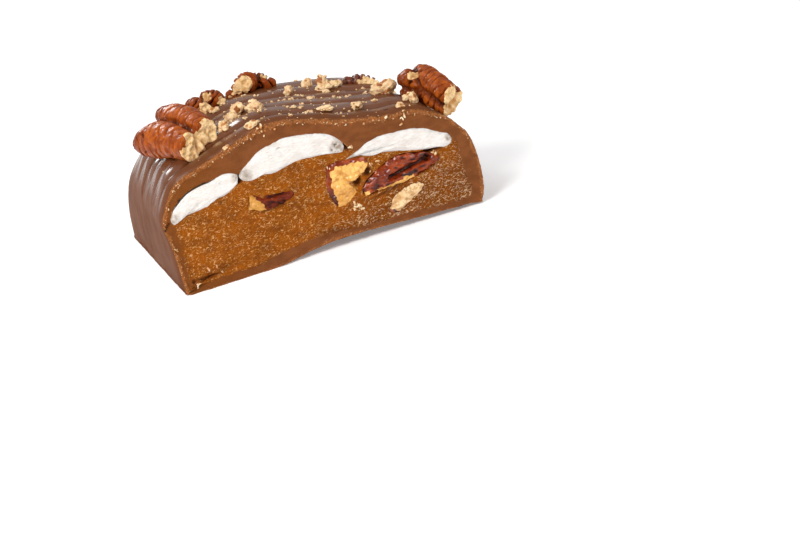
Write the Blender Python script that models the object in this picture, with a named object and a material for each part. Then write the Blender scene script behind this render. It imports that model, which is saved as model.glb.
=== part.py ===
"""Half of a chocolate-coated toffee bar with marshmallow and pecans, cut across and standing on its base.

The bar lies along Y. Its cut face is the flat end at -Y and its own rounded end is at +Y.
The origin is on the surface that it stands on, under the middle of the half.
"""

import math
import random

import bmesh
import bpy
import numpy as np
from mathutils import Euler, Matrix, Vector, noise
from mathutils.bvhtree import BVHTree

MM = 0.001
GAP = 0.3 * MM

# The bar's outer size, in metres, and the fullness of its two roundings
HALF_LENGTH = 27.0 * MM
HALF_WIDTH = 27.0 * MM
END_HEIGHT = 20.6 * MM
END_FULLNESS = 2.63
PLAN_RADIUS = 8.0 * MM
TOP_RADIUS = 12.0 * MM
CUT_Y = -HALF_LENGTH

# The outer edge of the cut face, in millimetres from its middle: left foot, over the top, right foot
COAT_EDGE = (
    (-26.2, 0.0), (-26.5, 8.5), (-26.9, 12.0), (-25.1, 16.2), (-21.5, 19.0), (-13.0, 21.6),
    (-5.3, 23.3), (2.9, 21.6), (10.4, 19.5), (16.9, 18.8), (22.0, 17.1), (25.4, 13.9), (27.2, 8.0),
    (26.9, 2.5), (25.9, 0.0),
)

# The toffee slab as cut. Its top runs inside the marshmallows, which are let into it
TOFFEE_EDGE = (
    (-25.0, 2.4), (-24.8, 8.4), (-24.8, 11.9), (-23.0, 14.2), (-14.0, 16.4), (-12.7, 15.8),
    (-5.0, 17.8), (4.2, 16.8), (6.2, 14.6), (9.5, 14.6), (15.0, 14.4), (22.4, 12.2), (23.8, 10.6),
    (24.2, 5.3), (24.4, 1.9), (14.0, 2.2), (6.0, 2.4), (-1.9, 3.1), (-7.3, 2.6), (-11.7, 1.7),
    (-20.8, 1.5),
)

# Each marshmallow as cut, clockwise from its left tip
MARSHMALLOW_EDGES = {
    "marshmallow_left": (
        (-25.2, 12.8), (-24.3, 14.4), (-21.7, 16.2), (-17.3, 17.1), (-14.4, 17.7), (-13.2, 17.2),
        (-13.2, 16.0), (-15.2, 14.5), (-19.4, 13.2), (-23.4, 12.7), (-24.6, 12.2),
    ),
    "marshmallow_middle": (
        (-12.5, 16.6), (-10.8, 18.3), (-8.8, 19.5), (-4.4, 20.5), (0.0, 20.0), (3.8, 18.5),
        (5.1, 16.9), (4.7, 15.5), (1.5, 15.9), (-2.7, 16.2), (-7.0, 15.4), (-11.4, 15.2),
    ),
    "marshmallow_right": (
        (5.6, 14.5), (8.9, 15.7), (11.7, 16.3), (17.1, 15.8), (20.4, 14.5), (22.7, 13.2),
        (23.1, 12.1), (21.8, 11.3), (17.1, 12.0), (11.0, 13.4), (8.0, 13.8),
    ),
}

# Each piece of pecan in the cut face: its edge, how deep it goes and how far it stands out
INNER_PECANS = {
    "inner_pecan_small": {
        "edge": (
            (-12.6, 10.7), (-11.9, 13.1), (-10.1, 11.8), (-8.3, 12.1), (-4.9, 11.6), (-4.8, 10.9),
            (-7.6, 10.0), (-10.5, 10.0),
        ),
        "depth": 6.0, "proud": 0.25,
    },
    "inner_pecan_middle": {
        "edge": (
            (0.9, 9.5), (1.3, 12.6), (2.2, 14.1), (6.2, 13.9), (8.3, 13.2), (8.0, 11.8),
            (6.3, 10.6), (5.6, 8.7), (4.4, 7.3), (2.0, 6.7),
        ),
        "depth": 9.0, "proud": 0.15,
    },
    "inner_pecan_long": {
        "edge": (
            (6.8, 7.3), (7.2, 9.2), (9.6, 10.7), (13.4, 12.1), (17.1, 11.6), (19.9, 10.5),
            (20.2, 9.5), (17.4, 8.4), (13.0, 7.6), (9.0, 7.4),
        ),
        "depth": 6.5, "proud": 0.9,
    },
    "inner_pecan_low": {
        "edge": (
            (10.2, 3.4), (11.3, 5.4), (13.2, 6.3), (15.8, 6.7), (16.8, 5.8), (14.3, 4.4), (11.9, 3.2),
        ),
        "depth": 5.0, "proud": 0.2,
    },
}

# Each pecan on top: its lobes as (x, y, z, radius) in millimetres from the far end to the broken end
TOP_PECANS = {
    "top_pecan_front_left": {
        "lobes": (
            (
                (-23.5, -3.4, 21.1, 1.9), (-21.3, -8.0, 21.7, 2.9),
                (-19.4, -13.0, 21.9, 2.7), (-17.7, -20.0, 21.6, 2.2),
            ),
            (
                (-19.0, -1.0, 23.9, 1.8), (-17.5, -6.0, 24.6, 2.8),
                (-15.9, -11.0, 24.0, 2.6), (-14.5, -18.0, 22.8, 2.2),
            ),
            (
                (-21.6, -1.8, 22.3, 1.8), (-19.0, -6.0, 22.3, 2.4),
                (-17.0, -13.0, 21.9, 2.5), (-16.2, -19.0, 22.0, 2.2),
            ),
        ),
        "break_at": (-16.2, -18.6, 22.0), "break_facing": (0.42, -0.9, 0.1),
    },
    "top_pecan_right": {
        "lobes": (
            (
                (22.6, -9.0, 20.0, 1.5), (23.7, -12.0, 20.3, 1.9),
                (24.7, -15.5, 20.1, 2.3), (25.9, -22.0, 17.5, 2.0),
            ),
            ((22.8, -13.0, 18.2, 1.2), (24.0, -18.0, 17.4, 1.5), (26.5, -24.4, 14.7, 1.5)),
            ((26.3, -13.5, 19.1, 1.2), (27.0, -17.0, 18.2, 1.6), (27.3, -22.0, 16.3, 1.5)),
            ((24.3, -12.0, 18.6, 1.4), (25.4, -17.0, 17.7, 1.9), (26.6, -23.5, 15.3, 1.6)),
        ),
        "break_at": (26.4, -21.6, 16.4), "break_facing": (0.5, -0.8, -0.2),
    },
    "top_pecan_rear_left": {
        "lobes": (
            ((-12.3, 7.0, 23.2, 1.2), (-11.4, 5.0, 23.0, 1.7), (-10.4, 3.0, 22.4, 1.1)),
            ((-9.4, 7.5, 23.8, 1.2), (-8.3, 6.0, 23.3, 1.7), (-7.3, 5.0, 22.5, 1.3)),
            ((-11.4, 6.0, 21.8, 1.6), (-8.2, 6.0, 22.0, 1.6)),
        ),
        "break_at": (-9.4, 3.2, 22.0), "break_facing": (0.3, -0.95, 0.0),
    },
    "top_pecan_rear": {
        "lobes": (
            (
                (-4.9, 11.0, 21.9, 0.9), (-3.3, 11.0, 22.3, 1.3),
                (-1.5, 11.0, 23.2, 2.0), (0.2, 12.0, 23.2, 1.8),
            ),
            ((0.7, 13.0, 22.9, 1.9), (2.0, 12.0, 22.3, 1.7), (3.7, 12.0, 21.6, 1.1)),
        ),
        "break_at": (-0.5, 9.5, 23.0), "break_facing": (-0.2, -0.95, 0.25),
    },
    "top_pecan_rear_right": {
        "lobes": (
            ((14.9, 4.3, 19.8, 1.0), (17.4, 3.6, 19.3, 1.4), (19.8, 2.9, 18.2, 1.1)),
            ((16.0, 5.2, 19.2, 1.2), (18.8, 4.8, 18.5, 1.2)),
        ),
        "break_at": (17.6, 1.9, 18.8), "break_facing": (0.1, -0.98, 0.2),
    },
}

# Chopped pecan stuck in the coat, in millimetres: place along the cut and the bar, width, height
CHOPPED_PECAN = (
    (-9.3, 1.8, 1.3, 1.2), (-9.0, -10.6, 2.6, 2.2), (-7.4, -9.2, 2.4, 2.8), (-11.3, -15.9, 2.2, 2.4),
    (-4.3, -10.9, 3.0, 2.4), (-7.9, -24.2, 1.9, 1.5), (4.3, 2.3, 1.5, 1.6), (8.5, 5.3, 1.7, 2.4),
    (10.6, 2.1, 2.4, 2.2), (12.3, 2.4, 2.0, 1.8), (18.4, -9.2, 3.6, 2.8), (11.2, -17.6, 1.7, 1.5),
    (16.9, -23.4, 1.5, 1.4), (5.6, -17.4, 2.1, 0.9), (6.7, -3.3, 1.4, 0.8), (20.6, -17.2, 2.4, 2.2),
    (-17.0, 9.5, 1.8, 1.6), (-13.0, 14.5, 2.0, 1.6), (-6.0, 17.0, 1.5, 1.3), (6.5, 21.5, 2.2, 1.4),
    (12.5, 11.5, 1.6, 1.2), (-2.0, 22.5, 1.6, 1.2), (14.0, 21.0, 2.0, 1.4), (21.5, 0.5, 1.5, 1.3),
    (-20.5, 3.5, 1.4, 1.2), (-14.5, 21.5, 1.7, 1.3),
)
CHOPPED_SEED = 11
CHOPPED_SUNK = 0.35

FILLING_END = 23.5 * MM
FILLING_STEPS = 7
MARSHMALLOW_END = 19.0 * MM
MARSHMALLOW_ROUND = 4.0 * MM
CUTTER_REACH = 5.0 * MM

# Ripples left in the coat by the air that blows off the spare chocolate, as the place of each crease
# and the height of the crest after it
RIPPLES = ((-27.0, 0.5), (-19.5, 0.9), (-12.3, 0.8), (-5.5, 0.6), (-0.5, 1.0), (7.0, 0.7))
RIPPLE_DEPTH = 0.6 * MM
RIPPLE_BOW = 2.2 * MM
FOOT_RAGGED = 0.35 * MM

# The shallow hollow under the cut edge: places across it, and its depth at each, in millimetres
HOLLOW_X = (-11.0, -8.0, -4.0, -1.0, 4.0, 9.0, 16.0, 24.0, 27.0)
HOLLOW_DEPTH = (0.0, 0.3, 1.1, 1.4, 1.5, 1.3, 0.9, 0.6, 0.0)
HOLLOW_REACH = 14.0 * MM

COAT_AROUND = 34
BASE_AROUND = 12
LOBE_AROUND = 10
END_RINGS = 8
LOBE_STEP = 0.7


def smooth_step(value, low, high):
    """0 below low, 1 above high, and an even curve between them."""
    share = min(1.0, max(0.0, (value - low) / (high - low)))
    return share * share * (3.0 - 2.0 * share)


def spline(points, per_span, closed=False):
    """A Catmull-Rom curve through 2D points given in millimetres, returned in metres."""
    points = [Vector(p) * MM for p in points]
    count = len(points)
    run = []
    for i in range(count if closed else count - 1):
        ends = []
        for step in (-1, 0, 1, 2):
            k = i + step
            ends.append(points[k % count] if closed else points[min(max(k, 0), count - 1)])
        before, start, stop, after = ends
        for j in range(per_span):
            t = j / per_span
            run.append(0.5 * (
                2 * start + (stop - before) * t
                + (2 * before - 5 * start + 4 * stop - after) * t ** 2
                + (3 * start - before - 3 * stop + after) * t ** 3
            ))
    if not closed:
        run.append(points[-1])
    return run


def evenly(run, count):
    """The same open curve as count points at even distances along it."""
    steps = [0.0]
    for a, b in zip(run, run[1:]):
        steps.append(steps[-1] + (b - a).length)
    wanted = np.linspace(0.0, steps[-1], count)
    xs = np.interp(wanted, steps, [p.x for p in run])
    zs = np.interp(wanted, steps, [p.y for p in run])
    return [Vector((float(x), float(z))) for x, z in zip(xs, zs)]


def polar_table(run):
    """Angles and radii of an outline about the middle of the base, for looking up by angle."""
    angles = [math.atan2(max(p.y, 0.0), p.x) for p in run]
    radii = [p.length for p in run]
    order = np.argsort(angles)
    return np.array(angles)[order], np.array(radii)[order]


def end_outline(count):
    """The bar's section near its own end, an even arch."""
    run = []
    for i in range(count):
        turn = math.pi * (1.0 - i / (count - 1))
        across, up = math.cos(turn), math.sin(turn)
        power = 2.0 / END_FULLNESS
        x = HALF_WIDTH * math.copysign(abs(across) ** power, across)
        z = END_HEIGHT * max(up, 0.0) ** power
        run.append(Vector((x, z)))
    return run


CUT_TABLE = polar_table(spline(COAT_EDGE, 8))
END_TABLE = polar_table(end_outline(181))


def carry(point, y):
    """Where a point of the cut face, in metres, lies in the bar's section at y.

    The section swells from the cut's outline to the end's, then rounds off in plan and in height.
    """
    angle = math.atan2(max(point.y, 0.0), point.x)
    cut_radius = float(np.interp(angle, *CUT_TABLE))
    end_radius = float(np.interp(angle, *END_TABLE))
    share = (y - CUT_Y) / (2.0 * HALF_LENGTH)
    scale = 1.0 - share + share * end_radius / cut_radius
    from_end = max(HALF_LENGTH - y, 0.0)
    plan, top = 1.0, 1.0
    if from_end < PLAN_RADIUS:
        lost = PLAN_RADIUS - math.sqrt(PLAN_RADIUS ** 2 - (PLAN_RADIUS - from_end) ** 2)
        plan = 1.0 - lost / HALF_WIDTH
    if from_end < TOP_RADIUS:
        lost = TOP_RADIUS - math.sqrt(TOP_RADIUS ** 2 - (TOP_RADIUS - from_end) ** 2)
        top = 1.0 - lost / END_HEIGHT
    return Vector((point.x * scale * plan, point.y * scale * top))


def outset(ring, distance):
    """A closed ring of 2D points, clockwise seen from the cut, moved outwards by a distance."""
    moved = []
    for i, point in enumerate(ring):
        before = (point - ring[i - 1]).normalized()
        after = (ring[(i + 1) % len(ring)] - point).normalized()
        along = before + after
        reach = distance / max(along.length / 2.0, 0.6)
        moved.append(point + Vector((-along.y, along.x)).normalized() * reach)
    return moved


def loft(name, rings):
    """A closed mesh object through rings of 3D points, every ring with the same count."""
    bm = bmesh.new()
    loops = [[bm.verts.new(place) for place in ring] for ring in rings]
    for near, far in zip(loops, loops[1:]):
        for i in range(len(near)):
            k = (i + 1) % len(near)
            bm.faces.new((near[i], near[k], far[k], far[i]))
    for end in (loops[0], loops[-1]):
        bm.faces.new(end)
    bmesh.ops.recalc_face_normals(bm, faces=bm.faces)
    mesh = bpy.data.meshes.new(name)
    bm.to_mesh(mesh)
    bm.free()
    return bpy.data.objects.new(name, mesh)


def ripple_stations():
    """Places along the bar for the coat's rings, with the share of the ripple's depth at each."""
    last = HALF_LENGTH - TOP_RADIUS
    creases = [place * MM for place, _ in RIPPLES] + [last]
    stations = []
    for (_, height), start, stop in zip(RIPPLES, creases, creases[1:]):
        for share in (0.0, 0.1, 0.3, 0.6, 0.87):
            stations.append((start + share * (stop - start), height * math.sin(math.pi * share) ** 0.7))
    for i in range(END_RINGS):
        turn = math.radians(90.0 * i / (END_RINGS - 1))
        swell = 0.45 * abs(math.sin(2.0 * turn)) if i < END_RINGS - 1 else 0.0
        stations.append((last + TOP_RADIUS * math.sin(turn), swell))
    return stations


def hollow(x, y):
    """How far the base stands off the surface at a place under the bar."""
    depth = float(np.interp(x / MM, HOLLOW_X, HOLLOW_DEPTH)) * MM
    return depth * (1.0 - smooth_step(y, CUT_Y, CUT_Y + HOLLOW_REACH))


def coat_ring(y, swell, grow):
    """One ring of the coat's outside at y, with its ripple and its uneven foot, grown by a distance."""
    outline = evenly(spline(COAT_EDGE, 8), COAT_AROUND)
    ring = [carry(p, y) for p in outline]
    left, right = ring[0], ring[-1]
    feet = [right.lerp(left, (i + 1) / (BASE_AROUND + 1)) for i in range(BASE_AROUND)]
    ring += feet
    moved = outset(ring, 1.0)
    placed = []
    fade = smooth_step(y, CUT_Y, CUT_Y + 6.0 * MM) * (1.0 - smooth_step(y, 12.0 * MM, 20.0 * MM))
    for i, (point, far) in enumerate(zip(ring, moved)):
        normal = far - point
        if i < COAT_AROUND:
            height = smooth_step(point.y, 2.0 * MM, 8.0 * MM)
            foot = FOOT_RAGGED * noise.noise(Vector((0.0, y / (5.0 * MM), math.copysign(3.0, point.x))))
            push = swell * RIPPLE_DEPTH * height + foot * (1.0 - height) + grow
            point = point + normal * push
            bow = RIPPLE_BOW * (1.0 - (point.x / HALF_WIDTH) ** 2) * fade
            placed.append(Vector((point.x, y + bow, max(point.y, -grow))))
        else:
            placed.append(Vector((point.x, y, hollow(point.x, y) - grow)))
    for foot in (placed[0], placed[COAT_AROUND - 1]):
        foot.z = -grow
    return placed


def coat_form(name, grow=0.0):
    """The coat's outside as a closed solid, grown by a distance."""
    rings = [coat_ring(y, swell, grow) for y, swell in ripple_stations()]
    last = rings[-1]
    if grow:
        rings[0] = [Vector((p.x, CUT_Y - grow, p.z)) for p in rings[0]]
    centre = Vector((0.0, HALF_LENGTH, 4.0 * MM))
    for shrink, bulge in ((0.75, 0.7), (0.4, 1.1)):
        ring = [centre.lerp(p, shrink) for p in last]
        y = HALF_LENGTH + bulge * MM + grow
        rings.append([Vector((p.x, y, p.z * shrink if p.z < 0 else p.z)) for p in ring])
    return loft(name, rings)


def to_bar(point, y):
    """A 2D point of a section as a 3D point of the bar."""
    return Vector((point.x, y, point.y))


def filling_form(name, edge, stop, round_end=0.0, grow=0.0, per_span=1):
    """A filling's solid from its edge in the cut face, carried along the bar to its stop.

    With grow it is the room for that filling instead: larger all round, and open at the cut.
    """
    ring = spline(edge, per_span, closed=True)
    middle = sum(ring, Vector((0.0, 0.0))) / len(ring)
    last = stop - round_end
    stations = [(CUT_Y + (last - CUT_Y) * i / FILLING_STEPS, 1.0) for i in range(FILLING_STEPS + 1)]
    if round_end > 0.0:
        for turn in (35.0, 62.0, 85.0):
            bend = math.radians(turn)
            stations.append((last + round_end * math.sin(bend), 0.25 + 0.75 * math.cos(bend)))
    rings = []
    for i, (y, shrink) in enumerate(stations):
        section = outset([carry(middle.lerp(p, shrink), y) for p in ring], grow)
        end = grow if i == len(stations) - 1 else 0.0
        rings.append([to_bar(p, y + end) for p in section])
    if grow > 0.0:
        rings.insert(0, [Vector((p.x, CUT_Y - CUTTER_REACH, p.z)) for p in rings[0]])
    return loft(name, rings)


def nugget_form(name, edge, depth, proud, grow=0.0):
    """A piece of nut from its edge in the cut face: it stands out a little and rounds off inside."""
    ring = spline(edge, 2, closed=True)
    middle = sum(ring, Vector((0.0, 0.0))) / len(ring)
    stations = [(CUT_Y - proud * MM, 0.55), (CUT_Y - proud * MM * 0.7, 0.88), (CUT_Y, 1.0)]
    if grow > 0.0:
        stations = [(CUT_Y - CUTTER_REACH, 1.0), (CUT_Y, 1.0)]
    for turn in (30.0, 55.0, 78.0):
        bend = math.radians(turn)
        stations.append((CUT_Y + depth * MM * math.sin(bend), math.cos(bend)))
    rings = []
    for i, (y, shrink) in enumerate(stations):
        section = outset([middle.lerp(p, shrink) for p in ring], grow)
        end = grow if i == len(stations) - 1 else 0.0
        rings.append([to_bar(p, y + end) for p in section])
    return loft(name, rings)


def along_run(stations):
    """More (place, radius) pairs, in metres, on a smooth run through (x, y, z, radius) stations."""
    placed = [(Vector(s[:3]) * MM, s[3] * MM) for s in stations]
    run = []
    for i in range(len(placed) - 1):
        (start, thick), (stop, thin) = placed[i], placed[i + 1]
        before = placed[max(i - 1, 0)][0]
        after = placed[min(i + 2, len(placed) - 1)][0]
        steps = max(1, round((stop - start).length / (LOBE_STEP * (thick + thin) / 2)))
        for j in range(steps):
            t = j / steps
            place = 0.5 * (
                2 * start + (stop - before) * t
                + (2 * before - 5 * start + 4 * stop - after) * t ** 2
                + (3 * start - before - 3 * stop + after) * t ** 3
            )
            run.append((place, thick + (thin - thick) * t))
    run.append(placed[-1])
    return run


def lobe_form(name, stations):
    """One wrinkled lobe of a pecan, rounded at both ends."""
    run = along_run(stations)
    rings = []
    for i, (place, radius) in enumerate(run):
        tangent = (run[min(i + 1, len(run) - 1)][0] - run[max(i - 1, 0)][0]).normalized()
        side = tangent.cross(Vector((0.0, 0.0, 1.0))).normalized()
        rise = side.cross(tangent)
        if i == 0:
            rings.append(lobe_ring(place - tangent * radius * 0.8, side, rise, radius * 0.45))
        wrinkle = 1.0 + 0.07 * (-1) ** i
        rings.append(lobe_ring(place, side, rise, radius * wrinkle))
        if i == len(run) - 1:
            rings.append(lobe_ring(place + tangent * radius * 0.8, side, rise, radius * 0.45))
    return loft(name, rings)


def lobe_ring(place, side, rise, radius):
    """A ring of points round a lobe."""
    turns = [2.0 * math.pi * i / LOBE_AROUND for i in range(LOBE_AROUND)]
    return [place + (side * math.cos(t) + rise * math.sin(t)) * radius for t in turns]


def top_pecan(name, sizes, seat):
    """A broken piece of pecan: its lobes joined, its end broken off and its underside fitted."""
    lobes = [lobe_form(f"{name}_lobe_{i}", run) for i, run in enumerate(sizes["lobes"])]
    helpers = collection("lobes_of_" + name)
    helpers.hide_render = True
    for lobe in lobes[1:]:
        helpers.objects.link(lobe)
    nut = lobes[0]
    nut.name = name
    bpy.context.scene.collection.objects.link(nut)
    join_and_remove(nut, helpers)
    bm = bmesh.new()
    bm.from_mesh(nut.data)
    cut = bmesh.ops.bisect_plane(
        bm, geom=bm.verts[:] + bm.edges[:] + bm.faces[:], plane_co=Vector(sizes["break_at"]) * MM,
        plane_no=Vector(sizes["break_facing"]).normalized(), clear_outer=True,
    )["geom_cut"]
    bmesh.ops.holes_fill(bm, edges=[g for g in cut if isinstance(g, bmesh.types.BMEdge)])
    bm.to_mesh(nut.data)
    bm.free()
    cut_away(nut, seat)
    bpy.context.scene.collection.objects.unlink(nut)
    return nut


def join_and_remove(target, helpers):
    """Joins a collection's objects to a solid by one union, applies it and removes them."""
    modifier = target.modifiers.new("joined", "BOOLEAN")
    modifier.operation = "UNION"
    modifier.operand_type = "COLLECTION"
    modifier.collection = helpers
    modifier.solver = "EXACT"
    graph = bpy.context.evaluated_depsgraph_get()
    joined = bpy.data.meshes.new_from_object(target.evaluated_get(graph))
    target.modifiers.remove(modifier)
    target.data = joined
    for obj in list(helpers.objects):
        bpy.data.objects.remove(obj)
    bpy.data.collections.remove(helpers)


def chopped_bits(coat):
    """A collection of rough bits of pecan, sunk a little in the top of the coat."""
    rng = random.Random(CHOPPED_SEED)
    helpers = collection("chopped_pecan")
    helpers.hide_render = True
    bm = bmesh.new()
    bm.from_mesh(coat.data)
    surface = BVHTree.FromBMesh(bm)
    bm.free()
    down = Vector((0.0, 0.0, -1.0))
    for i, (x, y, width, height) in enumerate(CHOPPED_PECAN):
        place = surface.ray_cast(Vector((x, y, 60.0)) * MM, down)[0]
        bit = bmesh.new()
        made = bmesh.ops.create_icosphere(bit, subdivisions=2 if width > 2.5 else 1, radius=0.5)
        for vert in made["verts"]:
            vert.co *= rng.uniform(0.8, 1.15)
        turn = Euler((rng.uniform(-0.4, 0.4), rng.uniform(-0.4, 0.4), rng.uniform(0.0, math.pi)))
        shape = Matrix.Diagonal((width * 1.1, width * 0.9, height * 1.3, 1.0)) @ turn.to_matrix().to_4x4()
        centre = place + Vector((0.0, 0.0, height * (0.5 - CHOPPED_SUNK) * MM))
        placed = Matrix.Translation(centre) @ Matrix.Scale(MM, 4) @ shape
        bmesh.ops.transform(bit, matrix=placed, verts=bit.verts)
        mesh = bpy.data.meshes.new(f"bit_{i}")
        bit.to_mesh(mesh)
        bit.free()
        helpers.objects.link(bpy.data.objects.new(f"bit_{i}", mesh))
    return helpers


def cut_away(target, cutter):
    """Takes a hidden cutter out of a solid."""
    cutter.hide_render = True
    cutter.display_type = "WIRE"
    modifier = target.modifiers.new("cut_" + cutter.name, "BOOLEAN")
    modifier.operation = "DIFFERENCE"
    modifier.object = cutter


def material(name, colour, roughness):
    """A plain finish for one kind of food."""
    made = bpy.data.materials.new(name)
    made.use_nodes = True
    shader = made.node_tree.nodes["Principled BSDF"]
    shader.inputs["Base Color"].default_value = (*colour, 1.0)
    shader.inputs["Roughness"].default_value = roughness
    shader.inputs["Metallic"].default_value = 0.0
    return made


def collection(name):
    """A new collection in the scene."""
    made = bpy.data.collections.new(name)
    bpy.context.scene.collection.children.link(made)
    return made


def dress(obj, finish, home):
    """Puts an object in its collection with its finish and smooth shading."""
    home.objects.link(obj)
    obj.data.materials.append(finish)
    obj.data.shade_smooth()
    obj.data.set_sharp_from_angle(angle=math.radians(40.0))
    return obj


def main():
    """Builds the half bar."""
    for obj in list(bpy.data.objects):
        bpy.data.objects.remove(obj)
    bar = collection("rocky_road_toffee")
    cutters = collection("cutters")
    chocolate = material("milk_chocolate", (0.16, 0.065, 0.03), 0.35)
    toffee_finish = material("toffee", (0.36, 0.14, 0.02), 0.4)
    marshmallow_finish = material("marshmallow", (0.86, 0.84, 0.8), 0.8)
    pecan_finish = material("pecan", (0.27, 0.08, 0.025), 0.5)

    coat = dress(coat_form("chocolate_coat"), chocolate, bar)
    seat = dress(coat_form("seat", GAP), chocolate, cutters)
    join_and_remove(coat, chopped_bits(coat))
    toffee = dress(filling_form("toffee", TOFFEE_EDGE, FILLING_END), toffee_finish, bar)
    room = dress(filling_form("room_toffee", TOFFEE_EDGE, FILLING_END, grow=GAP), chocolate, cutters)
    cut_away(coat, room)
    for name, edge in MARSHMALLOW_EDGES.items():
        made = filling_form(name, edge, MARSHMALLOW_END, MARSHMALLOW_ROUND, per_span=2)
        dress(made, marshmallow_finish, bar)
        made = filling_form("room_" + name, edge, MARSHMALLOW_END, MARSHMALLOW_ROUND, GAP, 2)
        room = dress(made, chocolate, cutters)
        cut_away(coat, room)
        cut_away(toffee, room)
    for name, sizes in INNER_PECANS.items():
        dress(nugget_form(name, **sizes), pecan_finish, bar)
        room = dress(nugget_form("room_" + name, **sizes, grow=GAP), chocolate, cutters)
        cut_away(toffee, room)
    for name, sizes in TOP_PECANS.items():
        dress(top_pecan(name, sizes, seat), pecan_finish, bar)


if __name__ == "__main__":
    main()
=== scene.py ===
"""Dresses the half of a chocolate-coated toffee bar: coat, toffee, marshmallow, pecans and crumbs.

The bar lies along Y, with its cut face at -Y, and stands on z = 0. Sizes are in millimetres until
a mesh is made, which is in metres.
"""

import logging
import math
import random
from abc import ABC, abstractmethod
from dataclasses import dataclass, field
from enum import Enum

import bmesh
import bpy
import numpy as np
from mathutils import Euler, Matrix, Vector, noise
from mathutils.bvhtree import BVHTree

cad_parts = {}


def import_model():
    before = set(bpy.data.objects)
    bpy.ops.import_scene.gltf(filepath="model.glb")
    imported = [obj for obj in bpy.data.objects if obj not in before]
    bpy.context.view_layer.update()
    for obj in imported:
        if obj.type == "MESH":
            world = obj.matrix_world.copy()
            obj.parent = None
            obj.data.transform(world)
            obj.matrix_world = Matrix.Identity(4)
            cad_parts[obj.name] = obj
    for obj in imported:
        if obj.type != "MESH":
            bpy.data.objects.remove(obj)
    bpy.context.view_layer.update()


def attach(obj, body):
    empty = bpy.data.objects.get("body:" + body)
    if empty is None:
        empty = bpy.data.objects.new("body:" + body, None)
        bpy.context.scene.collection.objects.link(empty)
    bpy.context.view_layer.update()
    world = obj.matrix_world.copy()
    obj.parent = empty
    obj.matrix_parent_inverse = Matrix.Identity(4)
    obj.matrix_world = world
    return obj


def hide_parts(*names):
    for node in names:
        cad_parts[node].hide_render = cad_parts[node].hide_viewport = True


LOG = logging.getLogger("rocky_road_toffee")
MM = 0.001
CUT_Y = -27.0
UP = Vector((0.0, 0.0, 1.0))
TINY = 1e-12
SEAM_GAP = 2e-3
SEED_SHIFT = 7.31
LAYER_FALL = 0.7
LAYER_RATIO = 2.1

Points = np.ndarray
Run = tuple[tuple[float, ...], ...]
Spot = tuple[float, float]
Place = tuple[float, float, float]
Colour = tuple[float, float, float]

WHITE: Colour = (1.0, 1.0, 1.0)

COAT_OUTLINE: Run = (
    (-26.2, 0.0), (-26.3, 5.5), (-26.5, 8.9), (-27.0, 12.1), (-26.3, 14.1), (-25.1, 16.2),
    (-23.6, 18.0), (-21.5, 19.0), (-18.2, 19.9), (-16.0, 20.6), (-13.0, 21.6), (-10.3, 22.4),
    (-7.9, 23.1), (-5.3, 23.3), (-2.9, 23.1), (0.0, 22.3), (2.9, 21.6), (7.0, 20.2), (10.4, 19.5),
    (13.1, 19.0), (15.0, 18.8), (16.9, 18.8), (19.6, 18.2), (21.5, 17.3), (23.8, 15.7),
    (25.2, 14.1), (26.3, 12.5), (26.9, 10.2), (27.2, 7.6), (27.2, 4.8), (26.9, 2.5), (26.0, 0.0),
)
CAVITY_OUTLINE: Run = (
    (-24.8, 1.7), (-24.7, 5.0), (-24.6, 8.4), (-24.7, 11.2), (-25.3, 12.5), (-24.6, 14.3),
    (-23.5, 15.35), (-21.7, 16.5), (-19.5, 17.15), (-17.3, 17.3), (-15.6, 17.6), (-14.4, 17.6),
    (-12.9, 16.9), (-12.1, 17.4), (-10.8, 18.2), (-8.8, 19.4), (-6.8, 20.0), (-4.4, 20.4),
    (-2.0, 20.2), (0.0, 19.9), (2.2, 19.4), (3.8, 18.4), (5.0, 17.2), (5.4, 16.6), (5.8, 16.0),
    (6.4, 14.9), (7.4, 14.9), (8.9, 15.6), (10.5, 16.0), (11.7, 16.2), (13.2, 16.1), (15.3, 15.9),
    (17.1, 15.7), (18.9, 15.2), (20.4, 14.4), (21.5, 13.8), (22.8, 13.1), (23.2, 12.2),
    (23.7, 10.6), (24.0, 7.0), (24.1, 4.0), (24.1, 2.2), (19.0, 2.2), (14.0, 2.3), (6.0, 2.5),
    (-1.9, 3.1), (-7.3, 2.6), (-11.7, 1.8), (-16.0, 1.6), (-20.8, 1.5), (-24.0, 1.5),
)
TOFFEE_OUTLINE: Run = (
    (-25.2, 1.5), (-25.1, 8.4), (-25.1, 11.9), (-23.0, 14.2), (-14.0, 16.4), (-12.7, 16.6),
    (-5.0, 17.8), (4.2, 16.8), (6.0, 15.6), (9.5, 14.6), (15.0, 14.4), (22.6, 12.6), (24.2, 10.9),
    (24.5, 5.3), (24.6, 1.8), (14.0, 1.9), (6.0, 2.1), (-1.9, 2.7), (-7.3, 2.2), (-11.7, 1.4),
    (-20.8, 1.1), (-24.4, 1.1),
)
MARSHMALLOW_LEFT: Run = (
    (-25.3, 12.8), (-24.7, 12.0), (-23.4, 12.8), (-21.5, 13.0), (-19.4, 13.2), (-17.2, 14.0),
    (-15.2, 14.4), (-13.5, 15.3), (-13.1, 16.0), (-13.0, 17.1), (-14.3, 17.7), (-15.9, 17.6),
    (-17.3, 17.1), (-19.5, 16.8), (-21.7, 16.2), (-23.4, 15.1), (-24.5, 14.2),
)
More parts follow.
